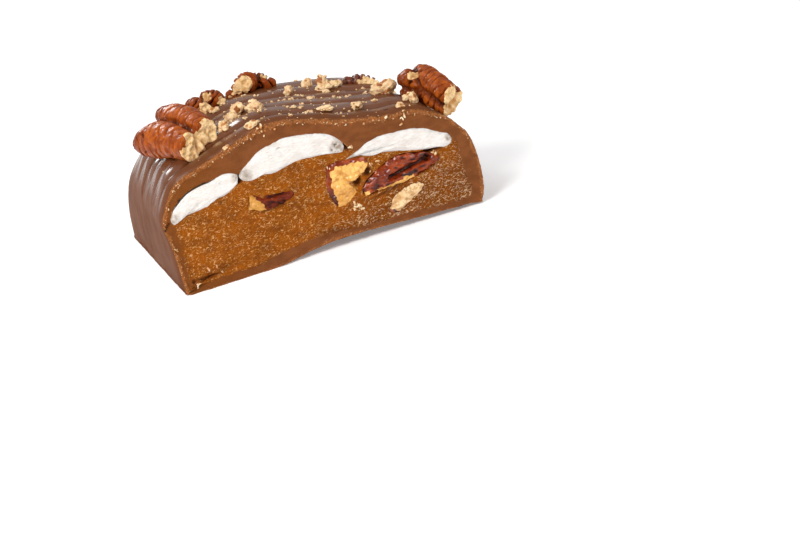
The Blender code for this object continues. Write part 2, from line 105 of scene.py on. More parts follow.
MARSHMALLOW_MIDDLE: Run = (
    (-12.7, 16.6), (-12.3, 15.8), (-11.4, 15.3), (-10.4, 15.3), (-9.1, 15.6), (-7.0, 15.4),
    (-4.8, 15.8), (-2.7, 16.2), (-0.6, 16.1), (1.5, 15.9), (3.5, 15.6), (4.7, 15.4), (5.2, 16.1),
    (5.0, 17.2), (3.8, 18.5), (2.2, 19.5), (0.0, 20.0), (-2.0, 20.3), (-4.4, 20.5), (-6.8, 20.1),
    (-8.8, 19.5), (-10.8, 18.3), (-11.9, 17.5),
)
MARSHMALLOW_RIGHT: Run = (
    (4.7, 14.1), (6.3, 14.4), (8.0, 13.8), (9.2, 13.3), (11.0, 13.4), (13.5, 12.9), (15.3, 12.4),
    (17.1, 12.0), (19.0, 11.7), (20.7, 11.5), (21.8, 11.2), (22.8, 11.5), (23.2, 12.1),
    (22.8, 13.2), (21.5, 13.9), (20.4, 14.5), (18.9, 15.3), (17.1, 15.8), (15.3, 16.0),
    (13.2, 16.2), (11.7, 16.3), (10.5, 16.1), (8.9, 15.7), (7.4, 15.0), (5.5, 14.4),
)
PECAN_SMALL: Run = (
    (-12.6, 10.7), (-12.1, 11.9), (-11.9, 13.1), (-11.0, 12.5), (-10.1, 11.8), (-9.2, 12.3),
    (-8.3, 12.1), (-6.6, 11.9), (-4.9, 11.6), (-4.8, 10.9), (-6.2, 10.3), (-7.6, 10.0), (-9.0, 9.9),
    (-10.5, 10.0), (-11.4, 10.4),
)
PECAN_MIDDLE: Run = (
    (0.9, 9.5), (1.3, 12.6), (2.2, 14.1), (6.2, 13.9), (8.3, 13.2), (8.0, 11.8), (6.3, 10.6),
    (4.6, 9.9), (5.6, 8.7), (4.4, 7.3), (2.0, 6.7),
)
PECAN_LONG: Run = (
    (6.8, 7.3), (7.2, 9.2), (9.6, 10.7), (13.4, 12.1), (17.1, 11.6), (19.9, 10.5), (20.2, 9.5),
    (17.4, 8.4), (13.0, 7.6), (9.0, 7.4),
)
PECAN_LOW: Run = (
    (10.2, 3.4), (10.8, 4.5), (11.3, 5.4), (13.2, 6.3), (15.8, 6.7), (16.8, 5.8), (14.3, 4.4),
    (11.9, 3.2),
)


def smooth_step(value: Points, low: float, high: float) -> Points:
    """0 below low, 1 above high, and an even curve between them."""
    share = np.clip((np.asarray(value, float) - low) / (high - low), 0.0, 1.0)
    return share * share * (3.0 - 2.0 * share)


def smooth_run(points: Run | Points, per_span: int, closed: bool) -> Points:
    """A Catmull-Rom curve through points of any dimension.

    Args:
        points: the points that the curve passes through.
        per_span: how many points it gets from each one to the next.
        closed: whether the last point joins the first.
    Returns:
        The points of the curve, one row each.
    """
    base = np.asarray(points, float)
    count = len(base)
    run = []
    for i in range(count if closed else count - 1):
        picks = [(i + k) % count if closed else min(max(i + k, 0), count - 1) for k in (-1, 0, 1, 2)]
        before, start, stop, after = base[picks]
        for t in np.arange(per_span) / per_span:
            run.append(0.5 * (
                2 * start + (stop - before) * t
                + (2 * before - 5 * start + 4 * stop - after) * t ** 2
                + (3 * start - before - 3 * stop + after) * t ** 3
            ))
    if not closed:
        run.append(base[-1])
    return np.array(run)


def lengths_along(run: Points) -> Points:
    """How far along an open curve each of its points is."""
    return np.concatenate([[0.0], np.cumsum(np.linalg.norm(np.diff(run, axis=0), axis=1))])


def even_run(run: Points, count: int) -> Points:
    """The same open curve with its points at even distances.

    Args:
        run: the curve's points.
        count: how many points it gets.
    Returns:
        The new points, one row each.
    """
    steps = lengths_along(run)
    wanted = np.linspace(0.0, steps[-1], count)
    return np.stack([np.interp(wanted, steps, run[:, k]) for k in range(run.shape[1])], axis=1)


def grain(places: Points, size: float | Place, seed: float, octaves: int = 1) -> Points:
    """Smooth noise, about -1 to 1, at places in millimetres.

    Args:
        places: an array whose last axis holds x, y, z.
        size: the size of one lump, or its size along each axis.
        seed: shifts the pattern.
        octaves: how many finer layers it has.
    Returns:
        One value for each place.
    """
    flat = (np.asarray(places, float).reshape(-1, 3) / np.asarray(size, float)) + seed * SEED_SHIFT
    if octaves == 1:
        values = [noise.noise(Vector(p)) for p in flat]
    else:
        values = [noise.fractal(Vector(p), LAYER_FALL, LAYER_RATIO, octaves) for p in flat]
    return np.array(values).reshape(np.asarray(places).shape[:-1])


def in_section(flat: Points, y: float) -> Points:
    """Places of a section, given by their x and z, at y along the bar."""
    return np.stack([flat[:, 0], np.full(len(flat), y), flat[:, 1]], axis=1)


def from_line(x: Points, z: Points, start: Spot, stop: Spot) -> Points:
    """How far places of the cut face are from a straight line.

    Args:
        x: the places across the bar.
        z: their heights.
        start: where the line starts.
        stop: where it stops.
    Returns:
        A distance in millimetres for each place.
    """
    across, up = stop[0] - start[0], stop[1] - start[1]
    x, z = x - start[0], z - start[1]
    along = np.clip((x * across + z * up) / (across * across + up * up), 0.0, 1.0)
    return np.hypot(x - along * across, z - along * up)


def depth_inside(x: Points, z: Points, outline: Run) -> Points:
    """How far places of the cut face are inside a closed outline, negative outside.

    Args:
        x: the places across the bar.
        z: their heights.
        outline: the closed outline's points.
    Returns:
        A signed distance in millimetres for each place.
    """
    run = smooth_run(outline, 3, True)
    px, pz = np.ravel(x)[:, None], np.ravel(z)[:, None]
    ax, az = run[None, :, 0], run[None, :, 1]
    bx, bz = np.roll(ax, -1, axis=1), np.roll(az, -1, axis=1)
    dx, dz = bx - ax, bz - az
    along = ((px - ax) * dx + (pz - az) * dz) / np.maximum(dx * dx + dz * dz, TINY)
    along = np.clip(along, 0.0, 1.0)
    away = np.hypot(px - ax - along * dx, pz - az - along * dz).min(axis=1)
    crossing = ((az > pz) != (bz > pz)) & (px < dx * (pz - az) / np.where(dz == 0.0, TINY, dz) + ax)
    inside = crossing.sum(axis=1) % 2 == 1
    return np.where(inside, away, -away).reshape(np.shape(x))


def skin(name: str, table: Points, masks: dict[str, Points]) -> bpy.types.Object:
    """A closed sheet laid over a table of places, its seam and its poles merged.

    Args:
        name: the object's name.
        table: places in millimetres, as rows by columns by 3.
        masks: values for the vertices, as rows by columns, each kept as an attribute.
    Returns:
        The object, not yet in the scene.
    """
    rows, columns = table.shape[:2]
    bm = bmesh.new()
    bmesh.ops.create_grid(bm, x_segments=columns - 1, y_segments=rows - 1, size=1.0)
    layers = {key: bm.verts.layers.float.new(key) for key in masks}
    for vert in bm.verts:
        i = round((vert.co.y + 1.0) / 2.0 * (rows - 1))
        j = round((vert.co.x + 1.0) / 2.0 * (columns - 1))
        vert.co = table[i, j] * MM
        for key, layer in layers.items():
            vert[layer] = float(masks[key][i, j])
    bmesh.ops.remove_doubles(bm, verts=bm.verts[:], dist=SEAM_GAP * MM)
    return finished_mesh(bm, name)


def finished_mesh(bm: bmesh.types.BMesh, name: str) -> bpy.types.Object:
    """An object of a bmesh, with its faces turned outwards and shaded smoothly.

    Args:
        bm: the bmesh, which is freed.
        name: the object's name.
    Returns:
        The object, not yet in the scene.
    """
    bmesh.ops.recalc_face_normals(bm, faces=bm.faces[:])
    mesh = bpy.data.meshes.new(name)
    bm.to_mesh(mesh)
    bm.free()
    mesh.shade_smooth()
    return bpy.data.objects.new(name, mesh)


@dataclass
class Sheet:
    """Rows of places with their masks, which together cover one closed piece."""

    rows: list[Points] = field(default_factory=list)
    masks: dict[str, list[Points]] = field(default_factory=dict)

    def add(self, places: Points, **values: float | Points) -> None:
        """Keeps one more row, with a value or a row of values for each mask."""
        self.rows.append(places)
        for key, value in values.items():
            self.masks.setdefault(key, []).append(np.zeros(len(places)) + value)

    def table(self) -> Points:
        """The rows as one table."""
        return np.array(self.rows)

    def mask(self, key: str) -> Points:
        """The values of one mask as a table."""
        return np.array(self.masks[key])


@dataclass(frozen=True)
class BarShape:
    """The outside form of the half bar, which every piece is carried along."""

    half_length: float = 27.0
    half_width: float = 27.0
    end_height: float = 20.6
    fullness: float = 2.63
    plan_radius: float = 8.0
    top_radius: float = 12.0
    hollow_x: tuple[float, ...] = (-11.0, -8.0, -4.0, -1.0, 4.0, 9.0, 16.0, 24.0, 27.0)
    hollow_depth: tuple[float, ...] = (0.0, 0.3, 1.1, 1.4, 1.5, 1.3, 0.9, 0.6, 0.0)
    hollow_reach: float = 14.0

    def end_radius(self, angle: Points) -> Points:
        """How far the section near the bar's own end reaches from the base's middle.

        Args:
            angle: the angles about the base's middle, in radians.
        Returns:
            A reach in millimetres for each angle.
        """
        power = 2.0 / self.fullness
        turn = np.linspace(math.pi, 0.0, 181)
        x = self.half_width * np.sign(np.cos(turn)) * np.abs(np.cos(turn)) ** power
        z = self.end_height * np.maximum(np.sin(turn), 0.0) ** power
        return self.looked_up(np.stack([x, z], axis=1), angle)

    def cut_radius(self, angle: Points) -> Points:
        """How far the cut's outline reaches at an angle about the base's middle."""
        return self.looked_up(smooth_run(COAT_OUTLINE, 8, False), angle)

    @staticmethod
    def looked_up(run: Points, angle: Points) -> Points:
        """The reach of an outline at some angles.

        Args:
            run: the outline's points.
            angle: the angles about the base's middle, in radians.
        Returns:
            A reach in millimetres for each angle.
        """
        angles = np.arctan2(np.maximum(run[:, 1], 0.0), run[:, 0])
        order = np.argsort(angles)
        return np.interp(angle, angles[order], np.linalg.norm(run, axis=1)[order])

    def drawn_in(self, radius: float, y: float) -> float:
        """How far the rounding of the far end has drawn an edge in at y."""
        past = max(radius - max(self.half_length - y, 0.0), 0.0)
        return radius - math.sqrt(radius ** 2 - past ** 2)

    def carry(self, points: Points, y: float) -> Points:
        """Where places of the cut face lie in the section at y.

        Args:
            points: x and z of each place.
            y: where the section is along the bar.
        Returns:
            x and z of each place there.
        """
        angle = np.arctan2(np.maximum(points[:, 1], 0.0), points[:, 0])
        share = (y - CUT_Y) / (2.0 * self.half_length)
        scale = 1.0 - share + share * self.end_radius(angle) / self.cut_radius(angle)
        plan = 1.0 - self.drawn_in(self.plan_radius, y) / self.half_width
        top = 1.0 - self.drawn_in(self.top_radius, y) / self.end_height
        return points * scale[:, None] * np.array([plan, top])

    def hollow(self, x: Points, y: float) -> Points:
        """How far the base stands off the floor under the bar."""
        fade = 1.0 - smooth_step(y, CUT_Y, CUT_Y + self.hollow_reach)
        return np.interp(x, self.hollow_x, self.hollow_depth) * fade


@dataclass(frozen=True)
class Pit:
    """A dent in a cut surface, as an oval that is flat inside its floor share and out by its edge."""

    x: float
    z: float
    across: float
    up: float
    depth: float
    turn: float = 0.0
    floor: float = 0.35
    edge: float = 1.2

    def depth_at(self, x: Points, z: Points) -> Points:
        """How deep the dent is at places of the cut face.

        Args:
            x: the places across the bar.
            z: their heights.
        Returns:
            A depth in millimetres for each place.
        """
        c, s = math.cos(math.radians(self.turn)), math.sin(math.radians(self.turn))
        along = ((x - self.x) * c + (z - self.z) * s) / self.across
        cross = (-(x - self.x) * s + (z - self.z) * c) / self.up
        return self.depth * (1.0 - smooth_step(np.hypot(along, cross), self.floor, self.edge))


class Slot(Enum):
    """The record's material slots."""

    CHOCOLATE = "milk_chocolate"
    TOFFEE = "toffee"
    MARSHMALLOW = "marshmallow"
    PECAN = "pecan"


class Patterns:
    """The node groups of the finishes, each built once."""

    _groups: dict[str, bpy.types.NodeTree] = {}

    @classmethod
    def fleck(cls) -> bpy.types.NodeTree:
        """Short bright or dark flecks: noise stretched along one direction, kept above a level.

        Returns:
            The group, with a mask as its only output.
        """
        if "fleck" in cls._groups:
            return cls._groups["fleck"]
        tree = bpy.data.node_groups.new("fleck", "ShaderNodeTree")
        for label, kind, value in (
            ("Turn", "NodeSocketVector", (0.0, 0.0, 0.0)),
            ("Stretch", "NodeSocketVector", (1.0, 1.0, 1.0)),
            ("Scale", "NodeSocketFloat", 1000.0),
            ("Level", "NodeSocketFloat", 0.6),
            ("Softness", "NodeSocketFloat", 0.08),
        ):
            socket = tree.interface.new_socket(label, in_out="INPUT", socket_type=kind)
            socket.default_value = value
        tree.interface.new_socket("Mask", in_out="OUTPUT", socket_type="NodeSocketFloat")
        build = Builder(tree)
        inside = build.node("NodeGroupInput").outputs
        turned = build.node("ShaderNodeVectorRotate", rotation_type="EULER_XYZ")
        build.fill(turned, {"Vector": build.place(), "Rotation": inside["Turn"]})
        stretched = build.node("ShaderNodeVectorMath", operation="MULTIPLY")
        build.fill(stretched, {0: turned.outputs[0], 1: inside["Stretch"]})
        threads = build.node("ShaderNodeTexNoise", noise_dimensions="3D")
        build.fill(threads, {"Vector": stretched.outputs[0], "Scale": inside["Scale"], "Detail": 1.5})
        kept = build.node("ShaderNodeMapRange", interpolation_type="SMOOTHSTEP")
        build.fill(kept, {
            "Value": threads.outputs["Fac"], "From Min": inside["Level"],
            "From Max": build.plus(inside["Level"], inside["Softness"]),
        })
        build.fill(build.node("NodeGroupOutput"), {"Mask": kept.outputs["Result"]})
        cls._groups["fleck"] = tree
        return tree


class Builder:
    """Puts nodes in a node tree and links them. Values can be sockets, numbers or colours."""

    def __init__(self, tree: bpy.types.NodeTree) -> None:
        """Starts on a tree."""
        self.tree = tree

    def node(self, kind: str, **settings: object) -> bpy.types.Node:
        """A new node.

        Args:
            kind: Blender's name for the kind of node.
            settings: the node's own settings.
        Returns:
            The node.
        """
        made = self.tree.nodes.new(kind)
        for key, value in settings.items():
            setattr(made, key, value)
        return made

    def set(self, socket: bpy.types.NodeSocket, value: object) -> None:
        """Feeds an input.

        Args:
            socket: the input.
            value: an output to link to it, or its plain value.
        """
        if isinstance(value, bpy.types.NodeSocket):
            self.tree.links.new(value, socket)
        elif isinstance(value, tuple) and len(value) == 3 and socket.type == "RGBA":
            socket.default_value = (*value, 1.0)
        else:
            socket.default_value = value

    def fill(self, node: bpy.types.Node, values: dict[str | int, object]) -> None:
        """Feeds several inputs of a node, named by label or number."""
        for label, value in values.items():
            self.set(node.inputs[label], value)

    def place(self) -> bpy.types.NodeSocket:
        """Object coordinates."""
        return self.node("ShaderNodeTexCoord").outputs["Object"]

    def mask(self, key: str) -> bpy.types.NodeSocket:
        """A value painted on the piece's vertices."""
        return self.node("ShaderNodeAttribute", attribute_name=key).outputs["Fac"]

    def math(
        self, operation: str, first: object, second: object, clamp: bool = False
    ) -> bpy.types.NodeSocket:
        """One step of arithmetic.

        Args:
            operation: Blender's name for the step.
            first: the first value.
            second: the second value.
            clamp: whether the outcome is kept from 0 to 1.
        Returns:
            The outcome.
        """
        made = self.node("ShaderNodeMath", operation=operation, use_clamp=clamp)
        self.fill(made, {0: first, 1: second})
        return made.outputs[0]

    def times(self, first: object, second: object, clamp: bool = False) -> bpy.types.NodeSocket:
        """One value multiplied by another."""
        return self.math("MULTIPLY", first, second, clamp)

    def plus(self, first: object, second: object) -> bpy.types.NodeSocket:
        """One value added to another."""
        return self.math("ADD", first, second)

    def mix(self, share: object, first: object, second: object) -> bpy.types.NodeSocket:
        """A colour between two colours.

        Args:
            share: how much of the second colour it has.
            first: the first colour.
            second: the second colour.
        Returns:
            The mixed colour.
        """
        made = self.node("ShaderNodeMix", data_type="RGBA")
        self.fill(made, {0: share, 6: first, 7: second})
        return made.outputs[2]

    def noise(
        self, size: float, detail: float = 3.0, roughness: float = 0.55,
        stretch: Place = (1.0, 1.0, 1.0),
    ) -> bpy.types.NodeSocket:
        """Noise from 0 to 1 on Object coordinates.

        Args:
            size: how large its lumps are, in millimetres.
            detail: how many finer layers it has.
            roughness: how strong those are.
            stretch: scales the coordinates first, so a low value draws the lumps out.
        Returns:
            The noise.
        """
        mapping = self.node("ShaderNodeMapping", vector_type="POINT")
        self.fill(mapping, {"Scale": stretch, "Vector": self.place()})
        made = self.node("ShaderNodeTexNoise", noise_dimensions="3D")
        self.fill(made, {
            "Scale": 1.0 / (size * MM), "Detail": detail, "Roughness": roughness,
            "Vector": mapping.outputs[0],
        })
        return made.outputs["Fac"]

    def ramp(
        self, value: object, low: float, high: float, start: float = 0.0, stop: float = 1.0
    ) -> bpy.types.NodeSocket:
        """A value spread over other limits with a smooth curve.

        Args:
            value: the value.
            low: what becomes start, as does all below it.
            high: what becomes stop, as does all above it.
            start: the outcome at low.
            stop: the outcome at high.
        Returns:
            The outcome.
        """
        made = self.node("ShaderNodeMapRange", interpolation_type="SMOOTHSTEP")
        self.fill(made, {
            "Value": value, "From Min": low, "From Max": high, "To Min": start, "To Max": stop,
        })
        return made.outputs["Result"]

    def fleck(
        self, size: float, stretch: Place, turn: Place, level: float, softness: float
    ) -> bpy.types.NodeSocket:
        """Flecks stretched along one direction.

        Args:
            size: how far across they are, in millimetres.
            stretch: scales the coordinates, so a low value draws the flecks out.
            turn: turns the coordinates first, in radians.
            level: the noise above which there is a fleck, so a high value makes few.
            softness: how soft its edge is.
        Returns:
            The mask.
        """
        made = self.node("ShaderNodeGroup")
        made.node_tree = Patterns.fleck()
        self.fill(made, {
            "Turn": turn, "Stretch": stretch, "Scale": 1.0 / (size * MM), "Level": level,
            "Softness": softness,
        })
        return made.outputs["Mask"]

    def bump(self, height: object, distance: float) -> bpy.types.NodeSocket:
        """A normal raised by a height, whose full range is distance millimetres."""
        made = self.node("ShaderNodeBump")
        self.fill(made, {"Strength": 1.0, "Distance": distance * MM, "Height": height})
        return made.outputs["Normal"]


def tinted(colour: Colour, factor: float) -> Colour:
    """A colour made lighter or darker by a factor."""
    return tuple(channel * factor for channel in colour)


@dataclass(frozen=True)
class Finish:
    """The settings that every finish shares, and the material with its shader."""

    name: str
    roughness: float = 0.5
    scatter: float = 0.0
    scatter_radius: Colour = (1.0, 0.5, 0.25)
    scatter_scale: float = 1.0
    specular: float = 0.5

    def start(self) -> tuple[bpy.types.Material, Builder, bpy.types.Node]:
        """The material with its plain values set.

        Returns:
            The material, its node builder and its shader.
        """
        material = bpy.data.materials.new(self.name)
        material.use_nodes = True
        build = Builder(material.node_tree)
        shader = material.node_tree.nodes["Principled BSDF"]
        build.fill(shader, {
            "Roughness": self.roughness, "Metallic": 0.0, "Specular IOR Level": self.specular,
        })
        if self.scatter:
            build.fill(shader, {
                "Subsurface Weight": self.scatter, "Subsurface Radius": self.scatter_radius,
                "Subsurface Scale": self.scatter_scale * MM,
            })
        return material, build, shader


@dataclass(frozen=True)
class ChocolateFinish(Finish):
    """Milk chocolate: a soft sheen outside, a smooth matte cut and a crumbly lighter rim."""

    outside: Colour = (0.135, 0.045, 0.017)
    cut: Colour = (0.18, 0.06, 0.02)
    amber: Colour = (0.165, 0.05, 0.01)
    rim: Colour = (0.37, 0.13, 0.036)
    # deep: painted shade, the colour of the creases between the ripples on top.
    shade: Colour = (0.03, 0.01, 0.005)
    deep: Colour = (0.075, 0.02, 0.005)
    # Pale specks on the rim, partly sugar and partly painted glints.
    grain: Colour = (0.8, 0.5, 0.28)
    amber_to: tuple[float, float] = (-23.0, -9.0)
    dull_to: tuple[float, float] = (1.5, 7.0)
    side_sheen: float = 0.16
    near_sheen: float = 0.35
    sheen_roughness: float = 0.2
    relief: float = 0.14

    def material(self) -> bpy.types.Material:
        """The material, which reads the coat's cut, rim, gap, fold and side masks.

        Returns:
            The material.
        """
        material, build, shader = self.start()
        broad, fine = build.noise(4.0, 3.0), build.noise(0.7, 4.0)
        smear = build.noise(1.3, 4.0, 0.6, (0.5, 1.0, 1.0))
        cut, rim = build.mask("cut"), build.mask("rim")
        axes = build.node("ShaderNodeSeparateXYZ")
        build.fill(axes, {"Vector": build.place()})

        outer = build.mix(build.ramp(broad, 0.35, 0.7), self.outside, tinted(self.outside, 1.14))
        # Painted shade: the ripples' creases darken towards the deep colour.
        outer = build.mix(build.ramp(build.mask("fold"), 0.3, 1.0, 0.0, 0.85), outer, self.deep)
        sliced = build.mix(build.ramp(smear, 0.35, 0.65), tinted(self.cut, 1.08), tinted(self.cut, 0.82))
        warm = build.ramp(axes.outputs["X"], self.amber_to[0] * MM, self.amber_to[1] * MM, 0.8, 0.0)
        colour = build.mix(cut, outer, build.mix(warm, sliced, self.amber))
        crumbs = build.ramp(build.noise(0.45, 3.0), 0.42, 0.6)
        edge = build.times(rim, build.plus(build.times(crumbs, 0.7), 0.2), clamp=True)
        colour = build.mix(edge, colour, self.rim)
        # Pale specks along the rim and a few on the cut: partly sugar grains, partly painted glints.
        grains = build.ramp(build.noise(0.22, 1.5), 0.62, 0.7)
        colour = build.mix(build.times(build.plus(rim, 0.04), grains, clamp=True), colour, self.grain)
        # Painted shade in the thin cracks of the cut face and in the small pit on top.
        colour = build.mix(build.mask("crack_and_pit_shade"), colour, self.shade)

        near = build.ramp(axes.outputs["Y"], *((CUT_Y + reach) * MM for reach in self.dull_to))
        dull = build.times(build.math("MAXIMUM", cut, rim), 0.95)
        sheen = build.math("SUBTRACT", 1.0, dull, clamp=True)
        sheen = build.times(sheen, build.ramp(broad, 0.25, 0.6, 0.6, 0.95))
        sheen = build.times(sheen, build.ramp(build.mask("side"), 0.0, 1.0, 1.0, self.side_sheen))
        sheen = build.times(sheen, build.ramp(near, 0.0, 1.0, self.near_sheen, 1.0))

        rough = build.plus(build.times(rim, 1.8), build.plus(build.times(cut, 0.35), 0.2))
        height = build.plus(build.times(fine, rough), build.times(smear, build.times(cut, 0.3)))
        build.fill(shader, {
            "Base Color": colour, "Coat Roughness": self.sheen_roughness, "Coat Weight": sheen,
            "Normal": build.bump(height, self.relief),
        })
        return material


@dataclass(frozen=True)
class ToffeeFinish(Finish):
    """Chewy toffee: amber, a little see-through, full of short pale threads of sugar, whose pale colour
    is partly painted glints.
    """

    amber: Colour = (0.255, 0.062, 0.003)
    glow: Colour = (0.36, 0.1, 0.004)
    dark: Colour = (0.12, 0.032, 0.004)
    # The pale colours of the sugar threads, which also stand for painted glints.
    thread_and_glint: Colour = (0.72, 0.38, 0.12)
    frost_and_glint: Colour = (0.72, 0.52, 0.32)
    # hollow: painted shade in the dents and round the let-in pieces.
    hollow: Colour = (0.1, 0.026, 0.006)
    threads: Run = ((0.16, 0.28, 0.7, 0.6), (0.16, 0.28, -0.5, 0.61), (0.15, 0.25, 0.12, 0.6))
    thread_edge: float = 0.06
    sheen_roughness: float = 0.2
    relief: float = 0.12

    def strands(self, build: Builder) -> bpy.types.NodeSocket:
        """The threads that lie three ways: size, stretch, turn and level of each.

        Args:
            build: the material's node builder.
        Returns:
            The mask of all of them.
        """
        first, *others = [
            build.fleck(size, (stretch, 1.0, 1.0), (0.0, turn, 0.0), level, self.thread_edge)
            for size, stretch, turn, level in self.threads
        ]
        for other in others:
            first = build.math("MAXIMUM", first, other)
        return first

    def material(self) -> bpy.types.Material:
        """The material, which reads the toffee's dull and pit masks.

        Returns:
            The material.
        """
        material, build, shader = self.start()
        dull = build.mask("dull")
        broad = build.ramp(build.noise(2.6, 4.0, 0.6, (0.6, 1.0, 1.0)), 0.34, 0.66)
        mottle = build.ramp(build.noise(0.5, 3.0), 0.35, 0.65)
        base = build.mix(build.times(broad, 0.6), self.amber, self.dark)
        base = build.mix(build.times(mottle, 0.45), base, self.glow)
        base = build.mix(build.times(dull, 0.55), base, self.dark)
        patchy = build.ramp(build.noise(0.9, 2.0), 0.4, 0.62, 0.15, 1.0)
        # Partly real sugar threads and partly painted glints: pale colour where the light would glint.
        strand = build.times(self.strands(build), build.math("MAXIMUM", patchy, build.times(dull, 0.7)))
        pale = build.mix(dull, self.thread_and_glint, self.frost_and_glint)
        colour = build.mix(build.times(strand, 0.85), base, pale)
        # Painted shade in the dents and moats; the same mask also darkens near the edge and in streaks.
        colour = build.mix(build.mask("pit"), colour, self.hollow)
        wet = build.noise(0.3, 2.0, 0.6, (0.6, 1.0, 1.0))
        height = build.plus(build.times(strand, 0.5), build.times(wet, 1.5))
        build.fill(shader, {
            "Base Color": colour, "Coat Roughness": self.sheen_roughness,
            "Coat Weight": build.times(strand, 0.8), "Normal": build.bump(height, self.relief),
        })
        return material


@dataclass(frozen=True)
class MarshmallowFinish(Finish):
    """Marshmallow: white, soft, fine-fibred, with grey see-through bubbles at its ends."""

    white: Colour = (0.82, 0.785, 0.75)
    thin: Colour = (0.52, 0.44, 0.37)
    grey: Colour = (0.33, 0.25, 0.19)
    relief: float = 0.1

    def material(self) -> bpy.types.Material:
        """The material, which reads the marshmallow's bubble mask.

        Returns:
            The material.
        """
        material, build, shader = self.start()
        fibre = build.ramp(build.noise(0.26, 3.0, 0.6, (0.35, 1.0, 1.0)), 0.3, 0.7)
        cloudy = build.ramp(build.noise(1.6, 3.0, 0.55, (0.5, 1.0, 1.0)), 0.42, 0.72)
        colour = build.mix(build.times(fibre, 0.26), self.white, self.thin)
        colour = build.mix(build.times(cloudy, 0.34), colour, self.thin)
        foam = build.ramp(build.noise(0.5, 3.0), 0.3, 0.6, 0.35, 1.0)
        colour = build.mix(build.times(build.mask("bubble"), foam), colour, self.grey)
        folds = build.noise(0.9, 2.0, 0.5, (0.5, 1.0, 1.0))
        height = build.plus(fibre, build.times(folds, 3.0))
        build.fill(shader, {"Base Color": colour, "Normal": build.bump(height, self.relief)})
        return material


@dataclass(frozen=True)
class PecanFinish(Finish):
    """Pecan: red-brown wrinkled skin, and cream flesh where it is broken."""

    skin: Colour = (0.22, 0.037, 0.004)
    bright: Colour = (0.42, 0.09, 0.007)
    # Painted shade colour for the wrinkles' floors and between the lobes.
    crease: Colour = (0.04, 0.006, 0.002)
    flesh: Colour = (0.95, 0.68, 0.36)
    flesh_shade: Colour = (0.66, 0.36, 0.13)
    flesh_roughness: float = 0.7
    wetness: float = 0.18
    wet_roughness: float = 0.12
    granular: float = 1.0
    relief: float = 0.1

    def material(self) -> bpy.types.Material:
        """The material, which reads the piece's cream and crease masks.

        Returns:
            The material.
        """
        material, build, shader = self.start()
        broad = build.ramp(build.noise(1.6, 3.0), 0.32, 0.68)
        fine = build.noise(0.4, 4.0)
        crease = build.mask("crease")
        brown = build.mix(broad, self.skin, self.bright)
        # Painted highlight: crests keep the lighter mix while creased places turn to plain skin.
        brown = build.mix(build.ramp(crease, 0.0, 0.55, 0.0, 0.75), brown, self.skin)
        brown = build.mix(build.ramp(fine, 0.55, 0.8, 0.0, 0.2), brown, self.crease)
        # Painted shade in the wrinkles' floors and between the lobes.
        brown = build.mix(build.ramp(crease, 0.4, 1.0), brown, self.crease)
        flesh = build.mix(build.ramp(build.noise(0.9, 4.0), 0.4, 0.7), self.flesh, self.flesh_shade)
        # Painted shade: creases turn the flesh to its shade colour.
        flesh = build.mix(build.times(crease, 0.8), flesh, self.flesh_shade)
        jagged = build.times(build.math("SUBTRACT", fine, 0.5), 0.8)
        cream = build.ramp(build.plus(build.mask("cream"), jagged), 0.42, 0.58)
        crumbly = build.plus(build.times(cream, self.granular), 0.15)
        height = build.plus(build.times(fine, 0.7), build.times(build.noise(0.2, 2.0), crumbly))
        build.fill(shader, {
            "Base Color": build.mix(cream, brown, flesh),
            "Roughness": build.ramp(cream, 0.0, 1.0, self.roughness, self.flesh_roughness),
            "Coat Roughness": self.wet_roughness, "Coat Weight": self.wetness,
            "Normal": build.bump(height, self.relief),
        })
        return material


@dataclass(frozen=True)
class SugarAndGlintFinish(Finish):
    """Wet grains of sugar, white to amber, whose pale colour partly stands for painted glints."""

    white: Colour = (0.82, 0.62, 0.4)
    amber: Colour = (0.58, 0.27, 0.08)

    def material(self) -> bpy.types.Material:
        """The material.

        Returns:
            The material.
        """
        material, build, shader = self.start()
        patches = build.ramp(build.noise(0.8, 2.0), 0.4, 0.6)
        build.fill(shader, {"Base Color": build.mix(patches, self.white, self.amber)})
        return material


